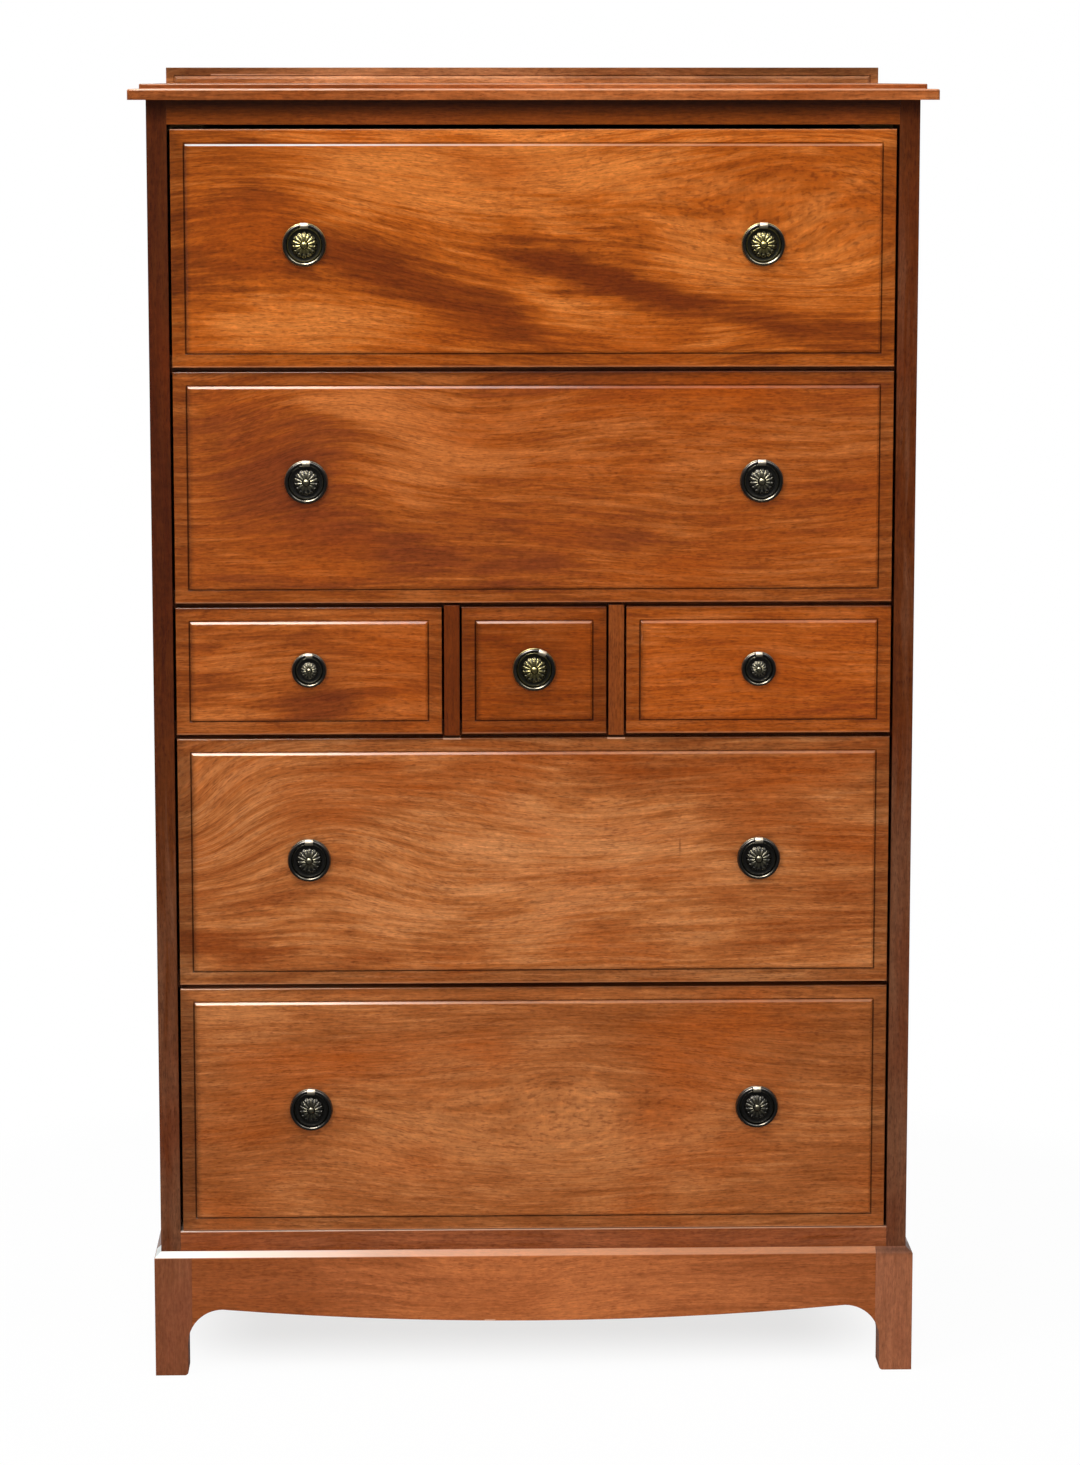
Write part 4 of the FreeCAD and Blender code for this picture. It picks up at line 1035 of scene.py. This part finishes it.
def add_bolt_and_nut(mesh, pull):
    """The bolt's domed head, its shank through the drawer front, and the nut behind."""
    bead, rise, seat = pull["bead"], pull["bead"] * 0.7, pull["boss_height"]
    end = -NUT_SEAT - 4.7
    head = []
    for i in range(8):
        a = math.radians(12 * i)
        head.append((bead * math.cos(a), seat - 0.2 + (rise + 0.2) * math.sin(a),
                     0.25 + 0.75 * math.sin(a)))
    spin(mesh, head + [(0, seat + rise, 1.0), (0, end, 0), (BOLT - 0.3, end, 0),
                       (BOLT, -NUT_SEAT - 4.3, 0), (BOLT, seat - 0.7, 0),
                       (bead - 0.2, seat - 0.7, 0), (bead, seat - 0.35, 0)], steps=32)
    corner = NUT / math.cos(math.pi / 6)
    back = -NUT_SEAT - NUT_HEIGHT
    spin(mesh, [(BOLT + 0.05, back, 0), (corner - 0.5, back, 0),
                (corner, -NUT_SEAT - 2.8, 0.1), (corner, -NUT_SEAT - 0.4, 0.1),
                (corner - 0.5, -NUT_SEAT, 0), (BOLT + 0.05, -NUT_SEAT, 0)], steps=6)


plates = {}
for name, pull in (("large", LARGE), ("small", SMALL)):
    mesh = new_mesh()
    spin(mesh, plate_outline(pull), steps=64)
    add_lug(mesh, pull)
    add_bolt_and_nut(mesh, pull)
    plates[name] = as_object(mesh, "pull_plate_" + name)
    print(name, "plate:", len(plates[name].data.polygons), "faces, hinge",
          round(hinge_rise(pull), 3), "mm up")


# %% [markdown]
# ## Petals
# The rosette has fourteen petals, each ending in a little scroll. One petal is made here, and
# Geometry Nodes repeat it around the boss and then repeat the whole pull on each drawer, as the
# founder's pattern did. A petal is a tongue that follows the dome and stands half a millimetre
# off it; its crest is rubbed bright and its edges stay dark.

# %% One petal with its scroll
PETALS = 14


def petal(name, pull):
    mesh = new_mesh()
    mark = mesh.verts.layers.float["rubbed"]
    boss, bead = pull["boss"], pull["bead"]
    start, end = bead + 0.7, boss - 0.19 * boss
    lift = 0.055 * boss
    rows, columns = 7, 5
    grid = []
    for i in range(rows):
        along = i / (rows - 1)
        radius = start + (end - start) * along
        half = math.pi / PETALS * radius * 0.88 * math.sqrt(1 - max(0, (along - 0.72) / 0.32) ** 2)
        row = []
        for j in range(columns):
            side = 2 * j / (columns - 1) - 1
            arch = 1 - abs(side) ** 2.2
            crease = 0.35 * math.exp(-(side / 0.25) ** 2) * along
            height = dome(pull, radius) - 0.18 + (lift + 0.18) * arch * (1 - crease)
            vert = mesh.verts.new((half * side, -height, radius))
            vert[mark] = 0.12 + 0.9 * arch * (1 - 0.35 * along)
            row.append(vert)
        grid.append(row)
    for a, b in zip(grid, grid[1:]):
        for j in range(columns - 1):
            mesh.faces.new((a[j], a[j + 1], b[j + 1], b[j]))
    outline = grid[0] + [row[-1] for row in grid[1:-1]] + grid[-1][::-1]
    outline += [row[0] for row in grid[-2:0:-1]]
    mesh.faces.new(outline[::-1])                         # closed underneath, inside the dome
    middle = boss - 0.115 * boss
    scroll = math.pi / PETALS * middle * 0.92
    centre = Vector((0, -dome(pull, middle) + 0.1, middle))
    tilt = Matrix.Rotation(math.radians(-38), 3, "X")
    outline = [(scroll, -0.4, 0.1), (scroll, 0.1, 0.2), (scroll * 0.72, lift * 0.9, 0.75),
               (scroll * 0.45, lift * 0.75, 0.3), (0, lift * 0.3, 0.0), (0, -0.4, 0)]
    rings = spin(mesh, outline, steps=8)
    for vert in {vert for ring in rings for vert in ring}:
        vert.co = tilt @ vert.co + centre
    return as_object(mesh, name, smooth_below=60)


petals = {"large": petal("petal_large", LARGE), "small": petal("petal_small", SMALL)}
print("one petal has", len(petals["large"].data.polygons), "faces")


# %% [markdown]
# ## Geometry Nodes, kept as a plain mesh
# A geometry tree is a recipe with named inputs. It runs as a modifier on a small mesh of points,
# and the result is kept as a plain mesh, because a modifier's copies would be lost when the
# model leaves Blender. A modifier knows its inputs by identifier and not by name, so they are
# looked up in the tree.

# %% Run a geometry tree on a mesh
def geometry_tree(name, inputs):
    tree = bpy.data.node_groups.new(name, "GeometryNodeTree")
    tree.interface.new_socket("Geometry", in_out="INPUT", socket_type="NodeSocketGeometry")
    for socket, kind in inputs.items():
        tree.interface.new_socket(socket, in_out="INPUT", socket_type="NodeSocket" + kind)
    tree.interface.new_socket("Geometry", in_out="OUTPUT", socket_type="NodeSocketGeometry")
    return tree


def grow(name, mesh, tree, values):
    """An object whose mesh is what the tree makes of the given one."""
    piece = bpy.data.objects.new(name, mesh)
    bpy.context.scene.collection.objects.link(piece)
    modifier = piece.modifiers.new("Grow", "NODES")
    modifier.node_group = tree
    for item in tree.interface.items_tree:
        if item.in_out == "INPUT" and item.name in values:
            modifier[item.identifier] = values[item.name]
    ready = piece.evaluated_get(bpy.context.evaluated_depsgraph_get())
    grown = bpy.data.meshes.new_from_object(ready)
    piece.modifiers.remove(modifier)
    piece.data = grown
    return piece


print("helpers for geometry trees:", geometry_tree.__name__, grow.__name__)


# %% [markdown]
# ## The pulls of a drawer
# The tree copies twice: the petal around the boss, and then the whole plate onto each of the
# drawer's points, turned as that pull has turned on its bolt. It scales the wear, so one casting
# serves for pulls that are handled much and little.

# %% The tree of a drawer's pulls
def pull_tree():
    tree = geometry_tree("Ring pulls", {"Plate": "Object", "Petal": "Object", "Petals": "Int",
                                        "Wear": "Float", "Finish": "Material"})
    inside = add(tree, "NodeGroupInput").outputs
    plate = add(tree, "GeometryNodeObjectInfo", {"Object": inside["Plate"]}).outputs["Geometry"]
    leaf = add(tree, "GeometryNodeObjectInfo", {"Object": inside["Petal"]}).outputs["Geometry"]
    step = add(tree, MATH, [2 * math.pi, inside["Petals"]], operation="DIVIDE")
    turn = add(tree, MATH, [add(tree, "GeometryNodeInputIndex"), step], operation="MULTIPLY")
    spokes = add(tree, "GeometryNodePoints", {"Count": inside["Petals"]})
    rosette = add(tree, "GeometryNodeInstanceOnPoints", {
        "Points": spokes, "Instance": leaf,
        "Rotation": add(tree, "ShaderNodeCombineXYZ", {"Y": turn})})
    whole = add(tree, "GeometryNodeJoinGeometry")
    for part in (plate, rosette.outputs[0]):
        tree.links.new(part, whole.inputs[0])
    swung = add(tree, "GeometryNodeInputNamedAttribute", {"Name": "turn"})
    hung = add(tree, "GeometryNodeInstanceOnPoints", {
        "Points": inside["Geometry"], "Instance": whole,
        "Rotation": add(tree, "ShaderNodeCombineXYZ", {"Y": swung})})
    real = add(tree, "GeometryNodeRealizeInstances", [hung])
    rubbed = add(tree, "GeometryNodeInputNamedAttribute", {"Name": "rubbed"})
    rubbed = add(tree, MATH, [rubbed, inside["Wear"]], operation="MULTIPLY")
    wear_and_glints = add(tree, "GeometryNodeStoreNamedAttribute", {"Geometry": real, "Name": "rubbed",
                                                         "Value": rubbed})
    done = add(tree, "GeometryNodeSetMaterial", {"Geometry": wear_and_glints, "Material": inside["Finish"]})
    add(tree, "NodeGroupOutput", {"Geometry": done})
    return tree


PULL_TREE = pull_tree()
print("the tree of the pulls has", len(PULL_TREE.nodes), "nodes")


# %% Hang the pulls on every drawer
# how far the pulls of each drawer are rubbed: the top drawer's are handled most
WEAR = {"drawer_top": 1.15, "drawer_second": 0.8, "small_drawer_left": 0.9,
        "small_drawer_middle": 0.95, "small_drawer_right": 0.85, "drawer_fourth": 0.75,
        "drawer_bottom": 0.65}
HANDLED_MOST = ("drawer_top", "small_drawer_middle")


def centres_mesh(name, rows):
    """A mesh of loose points with a turn each."""
    data = bpy.data.meshes.new(name)
    data.from_pydata([(x * MM, FIELD_Y * MM, z * MM) for x, z, _ in rows], [], [])
    data.attributes.new("turn", "FLOAT", "POINT").data.foreach_set(
        "value", [math.radians(turn) for _, _, turn in rows])
    return data


for drawer, rows in PULLS.items():
    kind = "small" if size_of(drawer) is SMALL else "large"
    piece = grow(drawer + "_rosettes", centres_mesh(drawer, rows), PULL_TREE, {
        "Plate": plates[kind], "Petal": petals[kind], "Petals": PETALS, "Wear": WEAR[drawer],
        "Finish": handled_brass if drawer in HANDLED_MOST else cast_brass})
    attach(piece, drawer)
    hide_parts(drawer + "_pull_plates")
    print(piece.name, len(piece.data.polygons), "faces")
for template in (*plates.values(), *petals.values()):
    bpy.data.objects.remove(template)


# %% [markdown]
# ## Rings
# A ring is bent from round brass wire: a straight top that turns in the lug, a tight bend at each
# side and then a nearly full circle. The wire's circle is carried along that path. Fingers rub
# the lower half most.

# %% Bend the rings
def ring_path(pull):
    """Points (x, z) and directions along the middle of the wire, once round."""
    bend, radius = pull["bend"], pull["ring"]
    straight, top = pull["lug_width"] / 2 + 0.05, hinge_rise(pull)
    join = math.atan2(top - bend, straight)
    path = [(straight * (i / 4 - 0.5) * 2, top, 0.0) for i in range(4)]
    for i in range(9):                                    # right-hand bend, then the circle
        a = math.pi / 2 + (join - math.pi / 2) * i / 8
        path.append((straight + bend * math.cos(a), top - bend + bend * math.sin(a),
                     a - math.pi / 2))
    for i in range(1, 72):
        a = join - (2 * join + math.pi) * i / 72
        path.append((radius * math.cos(a), radius * math.sin(a), a - math.pi / 2))
    for i in range(9):
        a = math.pi - join + (join - math.pi / 2) * i / 8
        path.append((-straight + bend * math.cos(a), top - bend + bend * math.sin(a),
                     a - math.pi / 2))
    return path[:-1]


WIRE_SIDES = 16      # a round wire, drawn with sixteen sides


def ring_piece(name, pull, x, z, turn, wear):
    mesh = new_mesh()
    mark = mesh.verts.layers.float["rubbed"]
    wire = pull["wire"] / 2
    sections = []
    for px, pz, heading in ring_path(pull):
        across_wire = Vector((-math.sin(heading), 0, math.cos(heading)))
        low = max(0.0, -pz / pull["ring"])
        section = []
        for i in range(WIRE_SIDES):
            a = 2 * math.pi * i / WIRE_SIDES
            spot = Vector((px, -ring_height(pull), pz)) + wire * (
                math.cos(a) * across_wire + math.sin(a) * Vector((0, -1, 0)))
            vert = mesh.verts.new(spot)
            vert[mark] = wear * (0.25 + 0.45 * low) * (0.6 + 0.4 * math.sin(a))
            section.append(vert)
        sections.append(section)
    for a, b in zip(sections, sections[1:] + sections[:1]):
        for i in range(WIRE_SIDES):
            j = (i + 1) % WIRE_SIDES
            mesh.faces.new((a[i], a[j], b[j], b[i]))
    bmesh.ops.rotate(mesh, matrix=Matrix.Rotation(math.radians(turn), 3, "Y"), verts=mesh.verts)
    bmesh.ops.translate(mesh, vec=(x, FIELD_Y, z), verts=mesh.verts)
    piece = as_object(mesh, name)
    bpy.context.scene.collection.objects.link(piece)
    return piece


for drawer, rows in PULLS.items():
    for node, (x, z, turn) in zip(RINGS[drawer], rows):
        piece = ring_piece(node + "_wire", size_of(drawer), x, z, turn, WEAR[drawer])
        piece.data.materials.append(drawn_brass)
        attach(piece, node)
        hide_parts(node)
print("a ring has", len(piece.data.polygons), "faces")


# %% [markdown]
# ## Screws
# Slotted countersunk screws hold the back panel on. One is made here and Geometry Nodes set one
# in each hole, its slot turned at random, as a hand driver leaves it.

# %% One screw
SCREW_HEAD, SCREW_SHANK, HEAD_DEPTH, SLOT, SLOT_DEPTH = 3.6, 1.8, 2.6, 1.1, 1.0
SCREW_LENGTH = 19.0


def slotted_screw():
    """The head is flush with Y = 0 and the shank runs towards -Y."""
    mesh = new_mesh()
    start = math.asin(SLOT / 2 / SCREW_HEAD)
    halves = []
    for side in (1, -1):
        arc = [start + (math.pi - 2 * start) * i / 8 for i in range(9)]
        top = [mesh.verts.new((SCREW_HEAD * math.cos(a) * side, 0,
                               SCREW_HEAD * math.sin(a) * side)) for a in arc]
        low = [mesh.verts.new((top[i].co.x * 0.8, -SLOT_DEPTH, top[i].co.z)) for i in (0, -1)]
        mesh.faces.new(top)
        mesh.faces.new((top[0], top[-1], low[1], low[0]))
        halves.append((top, low))
    (top_a, low_a), (top_b, low_b) = halves
    mesh.faces.new((low_a[0], low_a[1], low_b[0], low_b[1]))
    edge = top_a + [low_a[1], low_b[0]] + top_b + [low_b[1], low_a[0]]
    shank = []
    for depth in (HEAD_DEPTH, SCREW_LENGTH):
        shank.append([])
        for vert in edge:
            angle = math.atan2(vert.co.z, vert.co.x)
            shank[-1].append(mesh.verts.new((SCREW_SHANK * math.cos(angle), -depth,
                                             SCREW_SHANK * math.sin(angle))))
    for a, b in ((edge, shank[0]), (shank[0], shank[1])):
        for i in range(len(edge)):
            j = (i + 1) % len(edge)
            mesh.faces.new((a[i], a[j], b[j], b[i]))
    mesh.faces.new(shank[1])
    return as_object(mesh, "slotted_screw", smooth_below=30)


screw = slotted_screw()
print("a screw has", len(screw.data.polygons), "faces")


# %% The tree that sets the screws
def screw_tree():
    tree = geometry_tree("Screws", {"Screw": "Object", "Seed": "Int", "Finish": "Material"})
    inside = add(tree, "NodeGroupInput").outputs
    part = add(tree, "GeometryNodeObjectInfo", {"Object": inside["Screw"]}).outputs["Geometry"]
    turn = add(tree, "FunctionNodeRandomValue", {2: 0.0, 3: math.pi, "Seed": inside["Seed"]},
               data_type="FLOAT").outputs[1]
    turned = add(tree, "ShaderNodeCombineXYZ", {"Y": turn})
    driven = add(tree, "GeometryNodeInstanceOnPoints", {
        "Points": inside["Geometry"], "Instance": part, "Rotation": turned})
    real = add(tree, "GeometryNodeRealizeInstances", [driven])
    done = add(tree, "GeometryNodeSetMaterial", {"Geometry": real, "Material": inside["Finish"]})
    add(tree, "NodeGroupOutput", {"Geometry": done})
    return tree


SCREW_TREE = screw_tree()
print("the tree of the screws has", len(SCREW_TREE.nodes), "nodes")


# %% Set the screws
EDGE = 5.0           # from the back panel's edge to the screws along it
RAIL_END = 162.0     # from the middle to the outer screws of a rail


def screw_places():
    """(x, z) of the screws: along the rails and down both edges of the back."""
    low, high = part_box("back_panel")
    side = round(high.x / MM, 2) - EDGE
    foot, pitch = round(low.z / MM, 2), round((high.z - low.z) / MM / 5, 2)
    places = [(x, z) for z in (125.2, 1149.25) for x in (-RAIL_END, 0.0, RAIL_END)]
    places += [(x, z + 1.2) for z in (365.0, 594.5, 713.5, 924.5) for x in (-RAIL_END, RAIL_END)]
    return places + [(x, foot + pitch * (i + 0.5)) for i in range(5) for x in (-side, side)]


BACK_Y = round(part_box("back_panel")[1].y / MM, 2)
points = bpy.data.meshes.new("screw_places")
points.from_pydata([(x * MM, BACK_Y * MM, z * MM) for x, z in screw_places()], [], [])
piece = grow("back_screws", points, SCREW_TREE, {"Screw": screw, "Seed": 4, "Finish": bolt_steel})
bpy.data.objects.remove(screw)
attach(piece, "case")
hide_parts("wood_screws")
print("screws:", len(screw_places()), "with", len(piece.data.polygons), "faces")


# %% [markdown]
# ## The room
# A pale floor, a white surround and soft lights, as in a plain studio. The camera sees the
# surround as pure white. Lacquer and brass mirror it too, but only the backdrop behind the chest
# and the bright ceiling: the room in front is dim, which is what keeps the dark brass dark, and
# the ceiling is what glints on every edge that faces up. The floor is white paint with a share of
# plain white added, which rises to all of it away from the chest, so that the shadow under the
# chest stays and the floor meets the backdrop without a line.

# %% What the surround looks like
IN_FRONT = 0.07      # how bright the room in front of the chest is in a mirror
BEHIND = 0.6         # the backdrop behind it
CEILING = 0.9        # and the lit ceiling over it
AMBIENT = 0.36       # the light that comes from all sides
WHITE = (1, 1, 1, 1)


def seen_directly(tree):
    """1 for rays that look at, mirror or pass through to the surround, and 0 for light."""
    path = add(tree, "ShaderNodeLightPath").outputs
    mirrored = add(tree, MATH, [path["Is Glossy Ray"], path["Is Transmission Ray"]],
                   operation="ADD", use_clamp=True)
    return add(tree, MATH, [path["Is Camera Ray"], mirrored], operation="ADD", use_clamp=True)


print("the surround mirrors as", IN_FRONT, "in front,", BEHIND, "behind and", CEILING, "above")


# %% The floor
PATCH = (0.24, 0.06, 0)     # half sizes in metres of the shadow's middle, under the chest
PATCH_EDGE = 0.15           # how far the shadow fades out around it


def pale_floor():
    material, tree = empty_material("Pale floor paint")
    place = add(tree, "ShaderNodeTexCoord").outputs["Object"]
    far = add(tree, VECTOR, [place], operation="LENGTH").outputs["Value"]
    far = add(tree, RANGE, {"Value": far, "From Min": 0.45, "From Max": 0.95, "To Min": 0.9,
                            "To Max": 1.0})
    away = add(tree, VECTOR, [place], operation="ABSOLUTE")
    away = add(tree, VECTOR, [away, PATCH], operation="SUBTRACT")
    away = add(tree, VECTOR, [away, (0, 0, 0)], operation="MAXIMUM")
    away = add(tree, VECTOR, [away], operation="LENGTH").outputs["Value"]
    # the share of plain white grows away from the patch, and again over the open floor
    share = add(tree, RANGE, {"Value": away, "From Max": PATCH_EDGE, "To Min": 0.74,
                              "To Max": 0.97}, interpolation_type="SMOOTHSTEP")
    outside = add(tree, MATH, [away, PATCH_EDGE], operation="GREATER_THAN")
    far = add(tree, MATH, [far, outside], operation="MULTIPLY")
    share = add(tree, MATH, [share, far], operation="MAXIMUM")
    mirrored = add(tree, "ShaderNodeLightPath").outputs["Is Glossy Ray"]
    share = add(tree, MATH, [share, mirrored], operation="MAXIMUM")
    across_room = add(tree, "ShaderNodeSeparateXYZ", [place]).outputs["Y"]
    dim = add(tree, RANGE, {"Value": across_room, "From Min": -0.2, "From Max": 0.5,
                            "To Min": 1 - IN_FRONT, "To Max": 1 - BEHIND})
    level = add(tree, MATH, [dim, mirrored], operation="MULTIPLY")
    level = add(tree, MATH, [1.0, level], operation="SUBTRACT")
    matt = add(tree, "ShaderNodeBsdfDiffuse", {"Color": colour("#f6f6f6")})
    white = add(tree, "ShaderNodeEmission", {"Color": WHITE, "Strength": level})
    share = add(tree, MATH, [seen_directly(tree), share], operation="MULTIPLY")
    mixed = add(tree, "ShaderNodeMixShader", [share, matt, white])
    add(tree, "ShaderNodeOutputMaterial", {"Surface": mixed})
    return material


floor_mesh = bmesh.new()
bmesh.ops.create_grid(floor_mesh, x_segments=1, y_segments=1, size=30)
floor_data = bpy.data.meshes.new("floor")
floor_mesh.to_mesh(floor_data)
floor_mesh.free()
floor_data.materials.append(pale_floor())
floor = bpy.data.objects.new("floor", floor_data)
bpy.context.scene.collection.objects.link(floor)
print("the floor is", round(floor.dimensions.x), "m wide")


# %% The surround
def studio_world():
    world = bpy.data.worlds.new("Studio")
    world.use_nodes = True
    tree = world.node_tree
    tree.nodes.clear()
    path = add(tree, "ShaderNodeLightPath").outputs
    direction = add(tree, "ShaderNodeTexCoord").outputs["Generated"]
    direction = add(tree, "ShaderNodeSeparateXYZ", [direction]).outputs
    backdrop = add(tree, RANGE, {"Value": direction["Y"], "From Min": -0.3, "From Max": 0.35,
                                 "To Min": IN_FRONT, "To Max": BEHIND})
    overhead = add(tree, RANGE, {"Value": direction["Z"], "From Min": 0.35, "From Max": 0.75,
                                 "To Max": CEILING}, interpolation_type="SMOOTHSTEP")
    forward = add(tree, RANGE, {"Value": direction["Y"], "From Min": 0.15, "From Max": -0.05})
    ceiling = add(tree, MATH, [overhead, forward], operation="MULTIPLY")
    mirrored = add(tree, MATH, [backdrop, ceiling], operation="ADD")
    mirrored = add(tree, MATH, [path["Is Glossy Ray"], mirrored], operation="MULTIPLY")
    straight = add(tree, MATH, [path["Is Camera Ray"], path["Is Transmission Ray"]],
                   operation="ADD", use_clamp=True)
    seen = add(tree, MATH, [straight, mirrored], operation="MAXIMUM")
    ambient = add(tree, "ShaderNodeBackground", {"Color": WHITE, "Strength": AMBIENT})
    surround = add(tree, "ShaderNodeBackground", {"Color": WHITE, "Strength": seen})
    mixed = add(tree, "ShaderNodeMixShader", [seen_directly(tree), ambient, surround])
    add(tree, "ShaderNodeOutputWorld", {"Surface": mixed})
    return world


bpy.context.scene.world = studio_world()
print("the world has", len(bpy.context.scene.world.node_tree.nodes), "nodes")


# %% [markdown]
# ## Lights
# Soft rectangular lights stand in for a studio's softboxes. A large light close by gives soft
# shadows, and where it stands decides which edges catch it. A light can be kept out of mirrors,
# or out of everything but mirrors, so filling the shadows and drawing glints are separate jobs.

# %% Lights
def softbox(name, location, target, size, power):
    """A soft rectangular light that faces a point. Sizes in metres, power in watts."""
    data = bpy.data.lights.new(name, "AREA")
    data.shape = "RECTANGLE"
    data.size, data.size_y = size
    data.energy = power
    light = bpy.data.objects.new(name, data)
    light.location = location
    light.rotation_euler = (Vector(target) - Vector(location)).to_track_quat("-Z", "Y").to_euler()
    light.visible_camera = False
    bpy.context.scene.collection.objects.link(light)
    return light


softbox("Key, high left", (-1.2, -2.2, 3.3), (0, 0, 0.5), (2.1, 1.1), 56)
softbox("High right", (1.4, -2.3, 3.1), (0, 0, 0.5), (2.0, 1.0), 15)
softbox("Overhead", (-0.6, -0.45, 2.9), (-0.45, -0.2, 0), (1.2, 0.9), 22)
# the two low ones only fill: they aren't mirrored in the lacquer and the brass
softbox("Low left", (-2.7, -2.7, 0.5), (0, 0, 0.4), (1.4, 1.2), 18).visible_glossy = False
softbox("Low right", (2.7, -2.7, 0.5), (0, 0, 0.4), (1.4, 1.2), 19).visible_glossy = False
# and this one only glints: it draws the bright lines on the left of the edges that face up
glint = softbox("Glint, overhead left", (-0.75, -0.95, 2.9), (-0.75, -0.95, 0), (1.1, 1.7), 78)
glint.visible_diffuse = False
glint.data.color = (1.0, 0.9, 0.77)


# %% [markdown]
# ## Camera
# The chest is seen from a little left of its middle, at the height of its top, and the camera
# looks slightly down. A long lens keeps the upright edges nearly parallel.

# %% Camera
CAMERA_PLACE = Vector((-0.101487, -4.05121, 1.180157))
CAMERA_DOWN = 0.1508012      # radians below the horizon
CAMERA_YAW = 0.0277433       # radians towards +X
FOCAL_PIXELS = 4315.73       # for an image of 1080 x 1465
IMAGE_HEIGHT = 1465
SENSOR = 36.0
camera_data = bpy.data.cameras.new("Camera")
camera_data.sensor_width = SENSOR
camera_data.lens = FOCAL_PIXELS * SENSOR / IMAGE_HEIGHT
camera = bpy.data.objects.new("Camera", camera_data)
camera.location = CAMERA_PLACE
camera.rotation_euler = (math.pi / 2 - CAMERA_DOWN, 0, -CAMERA_YAW)
bpy.context.scene.collection.objects.link(camera)
bpy.context.scene.camera = camera
bpy.context.scene.view_settings.view_transform = "Standard"
print("lens", round(camera_data.lens, 2), "mm")
